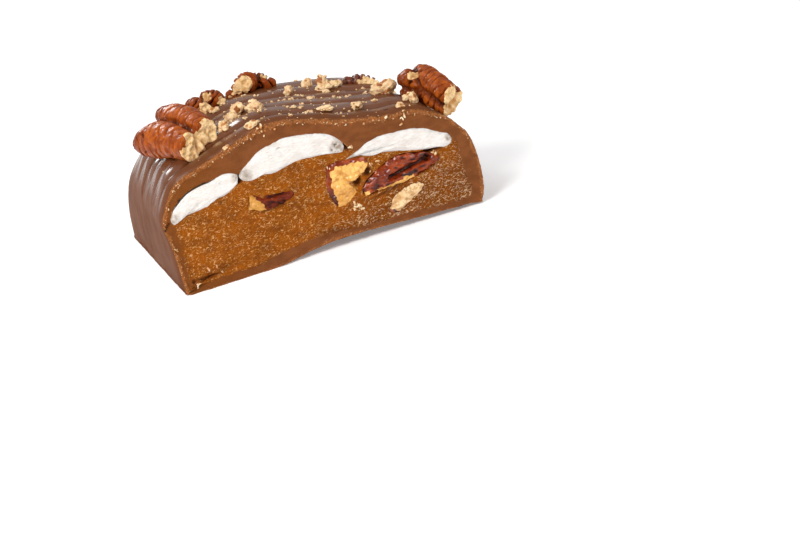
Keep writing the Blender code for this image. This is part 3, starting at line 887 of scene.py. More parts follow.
class Finishes:
    """Every material of the bar."""

    def __init__(self) -> None:
        """Builds them."""
        self.chocolate = ChocolateFinish(
            "milk_chocolate", roughness=0.6, scatter=0.06, scatter_radius=(0.6, 0.25, 0.1),
            specular=0.0,
        ).material()
        self.toffee = ToffeeFinish(
            "toffee", roughness=0.6, scatter=0.2, scatter_radius=(1.0, 0.42, 0.08),
            scatter_scale=0.6, specular=0.02,
        ).material()
        self.marshmallow = MarshmallowFinish(
            "marshmallow", roughness=0.85, scatter=0.5, scatter_radius=(1.0, 0.85, 0.7),
            scatter_scale=0.9, specular=0.3,
        ).material()
        self.pecan = PecanFinish(
            "pecan", roughness=0.4, scatter=0.06, scatter_radius=(1.0, 0.4, 0.15),
            scatter_scale=0.5, specular=0.05,
        ).material()
        self.dark_pecan = PecanFinish(
            "dark_pecan", roughness=0.36, specular=0.25, skin=(0.14, 0.03, 0.01),
            bright=(0.24, 0.055, 0.015), crease=(0.03, 0.006, 0.003),
        ).material()
        self.chopped = PecanFinish(
            "chopped_pecan", roughness=0.5, scatter=0.15, scatter_radius=(1.0, 0.55, 0.25),
            scatter_scale=0.6, specular=0.4, skin=(0.34, 0.1, 0.02), bright=(0.6, 0.26, 0.06),
            crease=(0.3, 0.11, 0.03), flesh=(0.95, 0.67, 0.38), flesh_shade=(0.66, 0.37, 0.15),
            flesh_roughness=0.55, wetness=0.2,
        ).material()
        self.inner_pecan = PecanFinish(
            "syrupy_pecan", roughness=0.4, specular=0.0, skin=(0.14, 0.015, 0.003),
            bright=(0.33, 0.05, 0.007), crease=(0.03, 0.004, 0.001), flesh=(0.9, 0.52, 0.15),
            flesh_shade=(0.5, 0.2, 0.025), flesh_roughness=0.35, wetness=0.75, granular=0.2,
        ).material()
        self.amber_pecan = PecanFinish(
            "amber_pecan", roughness=0.4, specular=0.0, skin=(0.1, 0.011, 0.002),
            bright=(0.2, 0.028, 0.005), crease=(0.03, 0.004, 0.001), flesh=(0.62, 0.31, 0.07),
            flesh_shade=(0.4, 0.16, 0.02), flesh_roughness=0.4, wetness=0.3,
        ).material()
        # Pale grains, partly sugar and partly painted glints.
        self.sugar = SugarAndGlintFinish("sugar", roughness=0.25, scatter=0.3, scatter_scale=0.3).material()
        self.pale_pecan = PecanFinish(
            "pale_pecan", roughness=0.4, specular=0.1, skin=(0.17, 0.03, 0.008),
            bright=(0.36, 0.09, 0.02), flesh=(0.88, 0.62, 0.34), flesh_shade=(0.5, 0.25, 0.07),
            flesh_roughness=0.3, wetness=0.9, granular=0.6,
        ).material()

    def of_flesh(self, flesh: "Flesh") -> bpy.types.Material:
        """The finish of a piece of pecan in the cut.

        Args:
            flesh: where it shows its flesh.
        Returns:
            The material.
        """
        if flesh is Flesh.ALL_BUT_FOOT:
            return self.pale_pecan
        return self.amber_pecan if flesh is Flesh.LEFT_END else self.inner_pecan


def settle(
    piece: bpy.types.Object, finish: bpy.types.Material, slot: Slot, *nodes: str
) -> bpy.types.Object:
    """Puts a piece in the scene with its finish, riding on the bar.

    Args:
        piece: the piece.
        finish: its material.
        slot: not used.
        nodes: the solids that it stands for.
    Returns:
        The same piece.
    """
    bpy.context.scene.collection.objects.link(piece)
    piece.data.materials.clear()
    piece.data.materials.append(finish)
    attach(piece, "root")
    if nodes:
        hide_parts(*nodes)
    LOG.info("%s: %d faces", piece.name, len(piece.data.polygons))
    return piece


@dataclass
class Coat:
    """The chocolate coat: a shell round the filling, cut across at one end."""

    shape: BarShape = field(default_factory=BarShape)
    over: int = 290
    under: int = 48
    face_rows: int = 15
    ripples: Run = (
        (-27.0, 0.5), (-19.5, 0.9), (-12.3, 0.8), (-5.5, 0.6), (-0.5, 1.0), (7.0, 0.7), (15.0, 0.0),
    )
    ripple_depth: float = 1.05
    ripple_bow: float = 2.2
    crease_level: float = 0.45
    flank_calm: float = 0.87
    fine_gap: float = 2.6
    slimming: float = 0.26
    foot: tuple[float, float] = (1.5, 7.0)
    flank: tuple[float, float] = (20.0, 26.0)
    calm_end: tuple[float, float] = (12.0, 20.0)
    cavity_end: float = 24.0
    cavity_at: tuple[float, ...] = (12.0, 0.0, -12.0, -20.0, -24.0, -26.0, -26.7)
    end_start: float = 15.0
    end_bulge: float = 1.05
    end_rings: tuple[float, ...] = (0.9, 0.78, 0.65, 0.5, 0.34, 0.17, 0.0)
    middle: Spot = (0.0, 8.0)
    cracks: tuple[tuple[Spot, Spot, float], ...] = (
        ((-26.7, 11.5), (-25.7, 12.5), 0.16), ((-23.4, 15.65), (-18.4, 17.25), 0.12),
    )
    # Where the small pit on top is painted as shade.
    pit_shade: Spot = (14.6, -22.8)

    def section(self, y: float) -> Points:
        """The coat's plain outer section, from the left foot over the top and back under the base.

        Args:
            y: where the section is along the bar.
        Returns:
            x and z of each point.
        """
        top = self.shape.carry(even_run(smooth_run(COAT_OUTLINE, 8, False), self.over), y)
        share = np.linspace(0.0, 1.0, self.under + 2)[1:, None]
        base = top[-1] * (1.0 - share) + top[0] * share
        base[:-1, 1] = self.shape.hollow(base[:-1, 0], y)
        return np.concatenate([top, base])

    def swell(self, y: Points) -> Points:
        """The ripples' height, before their depth is applied.

        Args:
            y: places along the bar.
        Returns:
            A height from 0 to 1 for each place.
        """
        creases = np.array([r[0] for r in self.ripples])
        heights = np.array([r[1] for r in self.ripples])
        index = np.clip(np.searchsorted(creases, y, side="right") - 1, 0, len(creases) - 2)
        share = np.clip((y - creases[index]) / (creases[index + 1] - creases[index]), 0.0, 1.0)
        return heights[index] * np.sin(math.pi * share ** 0.62) ** 0.65

    def ring(self, y: float) -> tuple[Points, Points]:
        """The rippled outer surface at one station.

        Args:
            y: where the station is along the bar.
        Returns:
            The surface's places, and how deep in a crease each is, from 0 to 1, which the chocolate
            paints as shade.
        """
        flat = self.section(y)
        tangent = np.roll(flat[:-1], -1, axis=0) - np.roll(flat[:-1], 1, axis=0)
        tangent /= np.maximum(np.linalg.norm(tangent, axis=1), TINY)[:, None]
        normal = np.stack([-tangent[:, 1], tangent[:, 0]], axis=1)
        normal = np.concatenate([normal, normal[:1]])
        height = smooth_step(flat[:, 1], *self.foot)
        height[self.over:-1] = 0.0
        fade = float(smooth_step(y, CUT_Y, CUT_Y + 6.0) * (1.0 - smooth_step(y, *self.calm_end)))
        bow = self.ripple_bow * (1.0 - (flat[:, 0] / self.shape.half_width) ** 2) * fade
        bow[self.over:-1] = 0.0
        places = np.stack([flat[:, 0], y + bow, flat[:, 1]], axis=1)
        ripple = self.swell(y + 0.9 * grain(places, (9.0, 5.0, 9.0), 1.0) * fade)
        steep = smooth_step(np.abs(flat[:, 0]), *self.flank)
        fine = np.sin(math.pi * (y + 2.2 * grain(places, 8.0, 2.0)) / self.fine_gap) ** 2
        push = self.ripple_depth * (1.0 - self.flank_calm * steep) * ripple * height
        push += (0.07 - 0.03 * steep) * fine * height * fade
        push += (0.1 + 0.08 * steep) * grain(places, (5.0, 2.6, 6.0), 3.0) * height * fade
        push += 0.12 * grain(places, 2.2, 4.0) * (1.0 - height) * smooth_step(y, CUT_Y, CUT_Y + 1.0)
        push -= self.slimming
        push[self.over:-1] = 0.0
        flat = flat + normal * push[:, None]
        flat[:, 1] = np.maximum(flat[:, 1], 0.0)
        # How deep in a crease each place is; the chocolate paints it as shade.
        fold = (1.0 - np.minimum(ripple / self.crease_level, 1.0)) * height * fade
        for row in (flat, bow, fold):
            row[-1] = row[0]
        return np.stack([flat[:, 0], y + bow, flat[:, 1]], axis=1), fold

    def cavity(self, outer: Points) -> Points:
        """The cavity's outline at the cut, matched to the outer outline by angle about the middle.

        Args:
            outer: x and z of the outer outline's points.
        Returns:
            x and z of as many points of the cavity's outline.
        """
        run = smooth_run(CAVITY_OUTLINE, 6, True) - self.middle
        angles = np.arctan2(run[:, 1], run[:, 0])
        order = np.argsort(angles)
        wanted = np.arctan2(outer[:, 1] - self.middle[1], outer[:, 0] - self.middle[0])
        reach = np.interp(wanted, angles[order], np.linalg.norm(run, axis=1)[order], period=2.0 * math.pi)
        flat = np.stack([np.cos(wanted) * reach, np.sin(wanted) * reach], axis=1) + self.middle
        uneven = grain(np.column_stack([flat, np.zeros(len(flat))]), 1.5, 9.0, 2)
        return flat + 0.12 * uneven[:, None]

    def cut_face(self, sheet: Sheet, inner: Points, outer: Points) -> None:
        """Lays the rows of the cut face, with its raised crumbly rim and the lip at the filling.

        Args:
            sheet: gets the rows.
            inner: the cavity's outline.
            outer: the outer outline.
        """
        width = np.linalg.norm(outer - inner, axis=1)
        for k in range(self.face_rows + 1):
            share = k / self.face_rows
            places = in_section(inner * (1.0 - share) + outer * share, CUT_Y)
            from_rim, from_lip = (1.0 - share) * width, share * width
            places[:, 1] += 0.1 * grain(places, (2.6, 2.6, 1.3), 5.0, 2) + 0.05 * grain(places, 0.7, 6.0)
            places[:, 1] += 0.05 * (1.0 - smooth_step(from_lip, 0.0, 0.25))
            ridge = 1.0 - smooth_step(from_rim + 0.45 * grain(places, 1.6, 8.0, 2), 0.2, 0.7)
            places[:, 1] -= ridge * (0.12 + 0.32 * grain(places, 0.7, 7.0, 2))
            places[:, 1] += 0.12 * (1.0 - smooth_step(from_rim, 0.0, 0.12))
            lip = 1.0 - smooth_step(from_lip + 0.12 * grain(places, 0.8, 15.0), 0.05, 0.22)
            sheet.add(places, cut=1.0, rim=np.maximum(ridge * 0.85, lip * 0.65), fold=0.0)

    def outside(self, sheet: Sheet) -> None:
        """Lays the outer surface from the rim, close together at first, to the far end's last ring."""
        near = CUT_Y + np.concatenate([[0.12, 0.28], np.arange(0.5, 42.0, 0.3)])
        turns = np.radians(np.linspace(0.0, 90.0, 44)[1:])
        far = self.end_start + self.shape.top_radius * np.sin(turns)
        for y in (*near[near < self.end_start - 0.1], *far):
            places, fold = self.ring(float(y))
            crumbly = 1.0 - smooth_step(y - CUT_Y + 0.5 * grain(places, 1.3, 10.0, 2), 0.25, 0.9)
            places[:, 2] += crumbly * 0.16 * grain(places, 0.7, 14.0, 2) * (places[:, 2] > 1.0)
            cut = float(1.0 - smooth_step(y - CUT_Y, 0.0, 0.25))
            sheet.add(places, cut=cut, rim=crumbly * 0.85, fold=fold)

    def far_end(self, sheet: Sheet) -> None:
        """Closes the far end with a slightly bulging cap."""
        last = sheet.rows[-1]
        centre = np.array([0.0, self.shape.half_length + self.end_bulge, 0.0])
        for shrink in self.end_rings:
            ring = centre + (last - centre) * shrink
            ring[:, 1] = self.shape.half_length + self.end_bulge * (1.0 - shrink ** 2)
            ring[:, 2] = np.maximum(ring[:, 2], 0.0)
            sheet.add(ring, cut=0.0, rim=0.0, fold=0.0)

    def build(self) -> bpy.types.Object:
        """The coat as one closed sheet: cavity, cut face, rim, outside and rounded end.

        Returns:
            The coat, not yet in the scene.
        """
        outer = self.ring(CUT_Y)[0][:, [0, 2]]
        inner = self.cavity(outer)
        sheet = Sheet()
        pole = np.repeat([[0.0, self.cavity_end, 6.0]], len(inner), axis=0)
        sheet.add(pole, cut=1.0, rim=0.0, fold=0.0)
        for y in (self.cavity_end, *self.cavity_at):
            sheet.add(in_section(self.shape.carry(inner, y), y), cut=1.0, rim=0.0, fold=0.0)
        self.cut_face(sheet, inner, outer)
        self.outside(sheet)
        self.far_end(sheet)
        table = sheet.table()
        masks = {key: sheet.mask(key) for key in ("cut", "rim", "fold")}
        return skin("coat", table, masks | {"crack_and_pit_shade": self.gaps(table), "side": self.sides(table)})

    def sides(self, table: Points) -> Points:
        """Where the coat has little sheen: on its sides, its far end and in a strip by the cut.

        Args:
            table: the coat's places.
        Returns:
            A value from 0 to 1 for each place.
        """
        x, y, z = table[..., 0], table[..., 1], table[..., 2]
        flanks = smooth_step(np.abs(x), 20.5, 25.5) * (1.0 - 0.55 * smooth_step(z, 10.0, 17.0))
        end = smooth_step(y, 22.0, 26.0)
        strip = 1.0 - smooth_step(y + 1.5 * grain(table, 3.0, 16.0), CUT_Y + 2.5, CUT_Y + 8.0)
        return np.maximum.reduce([flanks, end, 0.95 * strip])

    def gaps(self, table: Points) -> Points:
        """Where painted shade marks thin cracks in the cut face, and one small pit on top.

        Args:
            table: the coat's places.
        Returns:
            A value from 0 to 1 for each place.
        """
        x, y, z = table[..., 0], table[..., 1], table[..., 2]
        dark = np.zeros(x.shape)
        for start, stop, width in self.cracks:
            away = from_line(x, z, start, stop)
            dark = np.maximum(dark, 1.0 - smooth_step(away, width * 0.5, width * 1.6))
        away = np.hypot((x - self.pit_shade[0]) / 1.3, y - self.pit_shade[1])
        pit_shade = 1.0 - smooth_step(away + 0.3 * grain(table, 0.6, 19.0), 0.25, 0.55)
        return np.maximum(dark * (y < CUT_Y + 0.6), pit_shade * (z > 5.0))


@dataclass
class Filling(ABC):
    """A piece of filling from its outline in the cut face, carried back along the bar."""

    name: str
    outline: Run
    middle: Spot
    stop: float
    proud: float = 0.0
    round_end: float = 0.0
    edge_roll: float = 0.2
    ragged: float = 0.0
    around: int = 160
    face_rows: int = 30
    spacing: float = 0.9
    shape: BarShape = field(default_factory=BarShape)

    @abstractmethod
    def relief(self, places: Points) -> Points:
        """How far the cut face stands out at places, in millimetres."""

    @abstractmethod
    def masks(self, places: Points, from_edge: Points) -> dict[str, Points]:
        """The values painted on the piece, by places and their distances from its edge."""

    def edge(self) -> Points:
        """The outline as an even closed run.

        Returns:
            x and z of each point, the last one on the first.
        """
        run = smooth_run(self.outline, 8, True)
        ring = even_run(np.concatenate([run, run[:1]]), self.around + 1)
        at = in_section(ring, 0.0)
        return ring + self.ragged * np.stack([grain(at, 0.9, 51.0, 2), grain(at, 0.9, 52.0, 2)], axis=1)

    def standing(self, places: Points, from_edge: Points) -> Points:
        """How far the cut face stands out of the cut's plane, its edge rolled in.

        Args:
            places: places of the cut face.
            from_edge: how far each is from the edge.
        Returns:
            A distance in millimetres for each place.
        """
        rise = self.proud * smooth_step(from_edge, 0.0, 1.2)
        rise = rise - self.edge_roll * (1.0 - smooth_step(from_edge, 0.0, 0.45))
        return rise + self.relief(places) * smooth_step(from_edge, 0.0, 0.35)

    def behind(self, ring: Points, centre: Points) -> list[Points]:
        """The rows behind the cut face: the sides, the rounding and the far end.

        Args:
            ring: the outline.
            centre: its middle.
        Returns:
            The rows' places.
        """
        last = self.stop - self.round_end
        stations = [(CUT_Y + 0.6, 1.0)]
        stations += [(CUT_Y + (last - CUT_Y) * t, 1.0) for t in (0.05, 0.2, 0.4, 0.6, 0.8, 1.0)]
        if self.round_end > 0.0:
            for bend in map(math.radians, (20, 40, 60, 80)):
                stations.append((last + self.round_end * math.sin(bend), 0.25 + 0.75 * math.cos(bend)))
        rows = [
            in_section(self.shape.carry(centre + (ring - centre) * shrink, y), y)
            for y, shrink in stations
        ]
        end = stations[-1][0]
        tip = in_section(self.shape.carry(centre[None, :], end), end + 0.1)
        return rows + [np.repeat(tip, len(ring), axis=0)]

    def build(self) -> bpy.types.Object:
        """The piece as one closed sheet: its cut face and what lies behind it.

        Returns:
            The piece, not yet in the scene.
        """
        ring, centre = self.edge(), np.array(self.middle)
        reach = np.linalg.norm(ring - centre, axis=1)
        sheet = Sheet()
        for k in range(self.face_rows + 1):
            share = (k / self.face_rows) ** self.spacing
            places = in_section(centre + (ring - centre) * share, CUT_Y)
            from_edge = reach * (1.0 - share)
            places[:, 1] -= self.standing(places, from_edge)
            sheet.add(places, from_edge=from_edge)
        for places in self.behind(ring, centre):
            sheet.add(places, from_edge=0.0)
        table = sheet.table()
        return skin(self.name, table, self.masks(table, sheet.mask("from_edge")))


@dataclass
class Toffee(Filling):
    """The slab of toffee, dented where the other pieces are let into it."""

    pits: tuple[Pit, ...] = (
        Pit(-21.9, 1.95, 2.3, 0.4, 0.55, 2.0), Pit(-24.3, 1.9, 0.5, 0.5, 0.5),
        Pit(-13.0, 16.0, 0.7, 0.6, 2.2), Pit(5.7, 16.2, 0.6, 0.8, 1.6, 20.0),
        Pit(19.3, 11.4, 2.4, 0.42, 1.5, 3.0), Pit(6.0, 10.1, 0.8, 1.1, 1.0),
        Pit(8.1, 11.0, 0.9, 0.8, 0.9), Pit(-8.7, 9.8, 3.6, 0.35, 0.3),
        Pit(11.0, 6.9, 4.4, 0.4, 0.4, 12.0),
    )
    let_in: tuple[tuple[Run, float, float], ...] = ()
    # The dent depth at which the painted shade is full.
    dark_at: float = 0.8

    def relief(self, places: Points) -> Points:
        """Drag lines along the slab, fine sugar grain, the dents and the seats of the other pieces.

        Args:
            places: places of the cut face.
        Returns:
            A height in millimetres for each place.
        """
        x, z = places[:, 0], places[:, 2]
        rise = 0.10 * grain(places, (5.0, 5.0, 0.9), 11.0) + 0.09 * grain(places, 0.9, 12.0, 2)
        for pit in self.pits:
            rise = rise - pit.depth_at(x, z)
        for outline, depth, moat in self.let_in:
            rise = rise - depth * smooth_step(depth_inside(x, z, outline) + moat, 0.0, 0.25)
        return rise

    def masks(self, places: Points, from_edge: Points) -> dict[str, Points]:
        """Dull: greyer, darker and more crystalline to the right and low down, with more painted glints
        there. Pit: painted shade in the dents and round the let-in pieces, and a darker tone near the
        edge and in streaks.

        Args:
            places: the slab's places.
            from_edge: how far each is from the edge of the cut face.
        Returns:
            The two masks.
        """
        x, z = places[..., 0], places[..., 2]
        dull = smooth_step(0.7 * x + 2.4 * (8.0 - z), 3.0, 19.0) * smooth_step(x, -10.0, 2.0)
        dull = 0.9 * dull + 0.1 * smooth_step(x, 20.0, 23.5) + 0.25 * grain(places, 3.0, 13.0, 2)
        edges = from_edge + 0.5 * grain(places, 1.5, 17.0, 2)
        streaks = smooth_step(-grain(places, (4.0, 4.0, 1.4), 18.0, 2), 0.1, 0.6)
        # Darker near the edge of the face and in streaks; the dents and moats below get painted shade.
        dark = 0.4 * (1.0 - smooth_step(edges, 0.2, 1.3)) + 0.3 * streaks
        for pit in self.pits:
            dark = np.maximum(dark, pit.depth_at(x, z) / self.dark_at)
        for outline, _, moat in self.let_in:
            if moat > 0.0:
                dark = np.maximum(dark, smooth_step(depth_inside(x, z, outline) + moat, 0.0, 0.3))
        dark = np.clip(dark, 0.0, 1.0) * (places[..., 1] < CUT_Y + 3.0)
        return {"dull": np.clip(dull, 0.0, 1.0), "pit": dark}


@dataclass
class Marshmallow(Filling):
    """A soft flat marshmallow, with see-through bubbles at its ends."""

    bubbles: Run = ()
    pores: tuple[Pit, ...] = ()

    def relief(self, places: Points) -> Points:
        """A soft fibrous swell with a few pores.

        Args:
            places: places of the cut face.
        Returns:
            A height in millimetres for each place.
        """
        rise = 0.12 * grain(places, (4.0, 4.0, 1.2), 21.0) + 0.03 * grain(places, 0.5, 22.0, 2)
        for pore in self.pores:
            rise = rise - pore.depth_at(places[:, 0], places[:, 2])
        return rise

    def masks(self, places: Points, from_edge: Points) -> dict[str, Points]:
        """Bubble: where the foam is thin and grey.

        Args:
            places: the piece's places.
            from_edge: how far each is from the edge, which this piece has no use for.
        Returns:
            The mask.
        """
        x, z = places[..., 0], places[..., 2]
        thin = np.zeros(x.shape)
        for bx, bz, size in self.bubbles:
            thin = np.maximum(thin, 1.0 - smooth_step(np.hypot(x - bx, z - bz), size * 0.4, size))
        return {"bubble": np.clip(thin * (0.8 + 0.5 * grain(places, 0.6, 23.0)), 0.0, 1.0)}


class Flesh(Enum):
    """Where a cut piece of pecan shows cream flesh instead of skin."""

    LEFT_END = "left_end"
    CROSS_SECTION = "cross_section"
    LOWER_RIM = "lower_rim"
    ALL_BUT_FOOT = "all_but_foot"


@dataclass
class InnerPecan(Filling):
    """A piece of pecan held in the toffee and cut through. Its stop is its depth behind the cut."""

    spacing: float = 0.8
    flesh: Flesh = Flesh.CROSS_SECTION
    furrow: tuple[Spot, Spot] | None = None
    furrow_depth: float = 0.85
    ridge_gap: float = 0.75

    def wrinkles(self, places: Points) -> Points:
        """The wrinkles of the skin, about -1 to 1."""
        return grain(places, (1.5, 1.5, 0.9), 31.0, 2)

    def from_furrow(self, places: Points) -> Points:
        """How far places of the face are from the furrow's line."""
        return from_line(places[..., 0], places[..., 2], *self.furrow)

    def relief(self, places: Points) -> Points:
        """Wrinkles in the skin, and a furrow along a whole lobe pair.

        Args:
            places: places of the cut face.
        Returns:
            A height in millimetres for each place.
        """
        rise = 0.34 * self.wrinkles(places) + 0.07 * grain(places, 0.4, 32.0)
        if self.furrow:
            rise -= self.furrow_depth * (1.0 - smooth_step(self.from_furrow(places), 0.0, self.ridge_gap))
        return rise

    def standing(self, places: Points, from_edge: Points) -> Points:
        """How far the face stands out of the cut's plane.

        Args:
            places: places of the cut face.
            from_edge: how far each is from the edge.
        Returns:
            A distance in millimetres for each place.
        """
        rise = self.proud * smooth_step(from_edge, -0.2, 1.3)
        raised = places.copy()
        raised[:, 1] -= rise
        return rise + self.relief(raised) * smooth_step(from_edge, 0.0, 0.5)

    def behind(self, ring: Points, centre: Points) -> list[Points]:
        """The rows behind the cut face, which round the piece off inside the toffee.

        Args:
            ring: the outline.
            centre: its middle.
        Returns:
            The rows' places.
        """
        return [
            in_section(centre + (ring - centre) * math.cos(bend), CUT_Y + self.stop * math.sin(bend))
            for bend in map(math.radians, (8, 30, 55, 78, 90))
        ]

    def masks(self, places: Points, from_edge: Points) -> dict[str, Points]:
        """Cream for flesh, and crease for the painted shade in the wrinkles' floors, along the furrow and
        low on the cross-section.

        Args:
            places: the piece's places.
            from_edge: how far each is from the edge of the cut face.
        Returns:
            The two masks.
        """
        x, z = places[..., 0], places[..., 2]
        wobble = 0.25 * grain(places, 0.7, 33.0)
        # Painted shade in the wrinkles' floors.
        crease = smooth_step(-self.wrinkles(places), -0.25, 0.6)
        if self.flesh is Flesh.LEFT_END:
            cream = smooth_step(-x + wobble * 2.0 - 0.5 * (z - 11.0), 10.0, 10.5)
        elif self.flesh is Flesh.CROSS_SECTION:
            left = (x < 2.2 + 0.3 * (z - 8.0)) | (z > 12.6)
            cream = smooth_step(from_edge + 2.0 * wobble, 0.7, 1.0) * left + 1.0 * ~left
            # Painted shade: the lower part of the cross-section darker.
            crease = np.maximum(0.5 * crease, 0.75 * (1.0 - smooth_step(z + wobble, 8.5, 12.0)))
        elif self.flesh is Flesh.LOWER_RIM:
            low = z < 7.9 + 0.3 * (x - 7.0)
            cream = (1.0 - smooth_step(from_edge + 2.5 * wobble, 0.5, 0.85)) * low * (x < 15.5)
        else:
            cream = smooth_step((x - 10.0) * 0.5 + (z - 3.6) + wobble * 2.0, 0.1, 0.7)
        if self.furrow:
            crease = np.maximum(crease, 1.0 - smooth_step(self.from_furrow(places), 0.1, 0.5))
        return {"cream": np.clip(cream, 0.0, 1.0), "crease": np.clip(crease, 0.0, 1.0)}


@dataclass
class TopPecan:
    """A broken piece of pecan on the coat: its lobes fused, wrinkled, and broken off at one end."""

    name: str
    lobes: tuple[Run, ...]
    break_at: Place
    break_facing: Place
    wrinkle_gap: float = 1.15
    wrinkle_depth: float = 0.2
    evenness: float = 0.4
    crack: float = 0.7
    voxel: float = 0.2
    scars: Run = ()
    covers: Run = ()
    rounding: int = 5
    blunt: float = 9.0
    seed: float = 1.0

    def lobe(self, stations: Run) -> bmesh.types.BMesh:
        """One lobe: a ball drawn out along its run of stations and broken off.

        Args:
            stations: x, y, z and half thickness of each station.
        Returns:
            The closed lobe.
        """
        run = even_run(smooth_run(stations, 8, False), 40)
        bm = bmesh.new()
        bmesh.ops.create_uvsphere(bm, u_segments=24, v_segments=30, radius=1.0)
        for vert in bm.verts:
            turn = math.atan2(vert.co.y, vert.co.x)
            share = math.acos(max(-1.0, min(1.0, vert.co.z))) / math.pi
            k = share * (len(run) - 1)
            low = min(int(k), len(run) - 2)
            here = run[low] + (run[low + 1] - run[low]) * (k - low)
            tangent = Vector(run[low + 1][:3] - run[low][:3]).normalized()
            side = tangent.cross(UP).normalized()
            rise = side.cross(tangent)
            to_cap = max(0.0, 1.0 - min(share, 1.0 - share) * self.blunt)
            thick = here[3] * math.sqrt(max(0.0, 1.0 - to_cap ** 2))
            slide = 0.8 * here[3] * to_cap * (-1.0 if share < 0.5 else 1.0)
            out = (side * math.cos(turn) + rise * math.sin(turn)) * thick
            vert.co = (Vector(here[:3]) + tangent * slide + out) * MM
        bmesh.ops.remove_doubles(bm, verts=bm.verts[:], dist=MM * 1e-3)
        bmesh.ops.recalc_face_normals(bm, faces=bm.faces[:])
        cut = bmesh.ops.bisect_plane(
            bm, geom=bm.verts[:] + bm.edges[:] + bm.faces[:], plane_co=Vector(self.break_at) * MM,
            plane_no=Vector(self.break_facing).normalized(), clear_outer=True,
        )["geom_cut"]
        bmesh.ops.holes_fill(bm, edges=[g for g in cut if isinstance(g, bmesh.types.BMEdge)])
        return bm

    def fused(self) -> bpy.types.Object:
        """The lobes as one body, by a voxel remesh.

        Returns:
            The body, not in the scene.
        """
        whole = bmesh.new()
        for stations in self.lobes:
            bm = self.lobe(stations)
            mesh = bpy.data.meshes.new("lobe")
            bm.to_mesh(mesh)
            bm.free()
            whole.from_mesh(mesh)
            bpy.data.meshes.remove(mesh)
        rough = finished_mesh(whole, self.name + "_rough")
        bpy.context.scene.collection.objects.link(rough)
        modifier = rough.modifiers.new("fuse", "REMESH")
        modifier.mode = "VOXEL"
        modifier.voxel_size = self.voxel * MM
        graph = bpy.context.evaluated_depsgraph_get()
        mesh = bpy.data.meshes.new_from_object(rough.evaluated_get(graph))
        bpy.data.objects.remove(rough)
        mesh.name = self.name
        return bpy.data.objects.new(self.name, mesh)

    def nearest(self, places: Points) -> tuple[Points, Points, Points, Points]:
        """Which lobe each place is on.

        Args:
            places: places on the body.
        Returns:
            Each place's distance to the nearest lobe's skin and to the second's, how far along
            the nearest it is, and that one's number.
        """
        gaps, alongs = [], []
        for stations in self.lobes:
            run = even_run(smooth_run(stations, 8, False), 60)
            length = lengths_along(run[:, :3])
            ahead = np.gradient(run[:, :3], axis=0)
            ahead /= np.linalg.norm(ahead, axis=1)[:, None]
            away = np.linalg.norm(places[:, None, :] - run[None, :, :3], axis=2)
            pick = np.argmin(away - run[None, :, 3], axis=1)
            gaps.append(away[np.arange(len(places)), pick] - run[pick, 3])
            alongs.append(length[pick] + np.sum((places - run[pick, :3]) * ahead[pick], axis=1))
        gaps, alongs = np.array(gaps), np.array(alongs)
        first, second = np.argsort(gaps, axis=0)[:2]
        index = np.arange(len(places))
        return gaps[first, index], gaps[second, index], alongs[first, index], first

    @staticmethod
    def spot_reach(places: Points, at: Place, ragged: float, size: float, seed: float) -> Points:
        """Distances from a spot, made ragged by noise of a size in millimetres."""
        return np.linalg.norm(places - np.array(at), axis=1) + ragged * grain(places, size, seed, 2)

    def surface(self, places: Points) -> tuple[Points, Points, Points]:
        """The wrinkles, the creases between lobes, the scars and the rough break.

        Args:
            places: places on the fused body.
        Returns:
            How far each is pushed out, how much cream flesh it shows, and how creased it is, which the
            finish paints as shade.
        """
        facing = np.array(Vector(self.break_facing).normalized())
        to_break = (np.array(self.break_at) - places) @ facing
        broken = 1.0 - smooth_step(to_break + 0.45 * grain(places, 1.1, 41.0 + self.seed, 2), 0.2, 0.7)
        for *at, size in self.covers:
            away = self.spot_reach(places, at, 0.4, 0.9, 47.0)
            broken = broken * smooth_step(away, size * 0.8, size)
        first, second, along, which = self.nearest(places)
        valley = (1.0 - smooth_step(second - first, 0.05, 0.9)) * (0.75 + 0.5 * grain(places, 3.0, 50.0))
        warp = 0.75 * grain(places, 3.2, 42.0 + self.seed, 2) + 0.37 * which
        phase = np.abs(np.sin(math.pi * (along / self.wrinkle_gap + warp)))
        strong = smooth_step(grain(places, 3.2, 46.0 + self.seed) + 0.12 * (4.0 - along), -0.3, 0.5)
        furrow = 1.0 - smooth_step(phase, 0.3 * self.crack, self.crack)
        furrow *= self.evenness + (1.0 - self.evenness) * strong
        furrow *= 1.0 + 0.6 * (1.0 - smooth_step(along + 2.0 * grain(places, 2.5, 51.0), 3.0, 8.0))
        rise = -self.wrinkle_depth * 2.0 * furrow * (1.0 - broken)
        rise += 0.16 * grain(places, 1.7, 48.0 + self.seed)
        rise -= (0.5 + 0.2 * broken) * valley
        rise += 0.07 * grain(places, 0.55, 43.0 + self.seed, 2)
        rise += broken * (0.4 * grain(places, 1.3, 44.0 + self.seed, 3) - 0.15)
        cream = broken.copy()
        for *at, size in self.scars:
            away = self.spot_reach(places, at, 0.5, 0.8, 45.0)
            scar = 1.0 - smooth_step(away, size * 0.75, size)
            cream = np.maximum(cream, scar)
            rise -= 0.18 * scar
        tip = 0.55 * (1.0 - smooth_step(along + grain(places, 1.5, 49.0), 1.0, 6.0))
        # Painted shade in the wrinkles' furrows and the valleys between lobes; also darker towards the
        # start of each lobe.
        crease = np.maximum.reduce([furrow * 1.05 * (1.0 - broken), valley * 0.95, tip])
        return rise, cream, np.clip(crease, 0.0, 1.0)

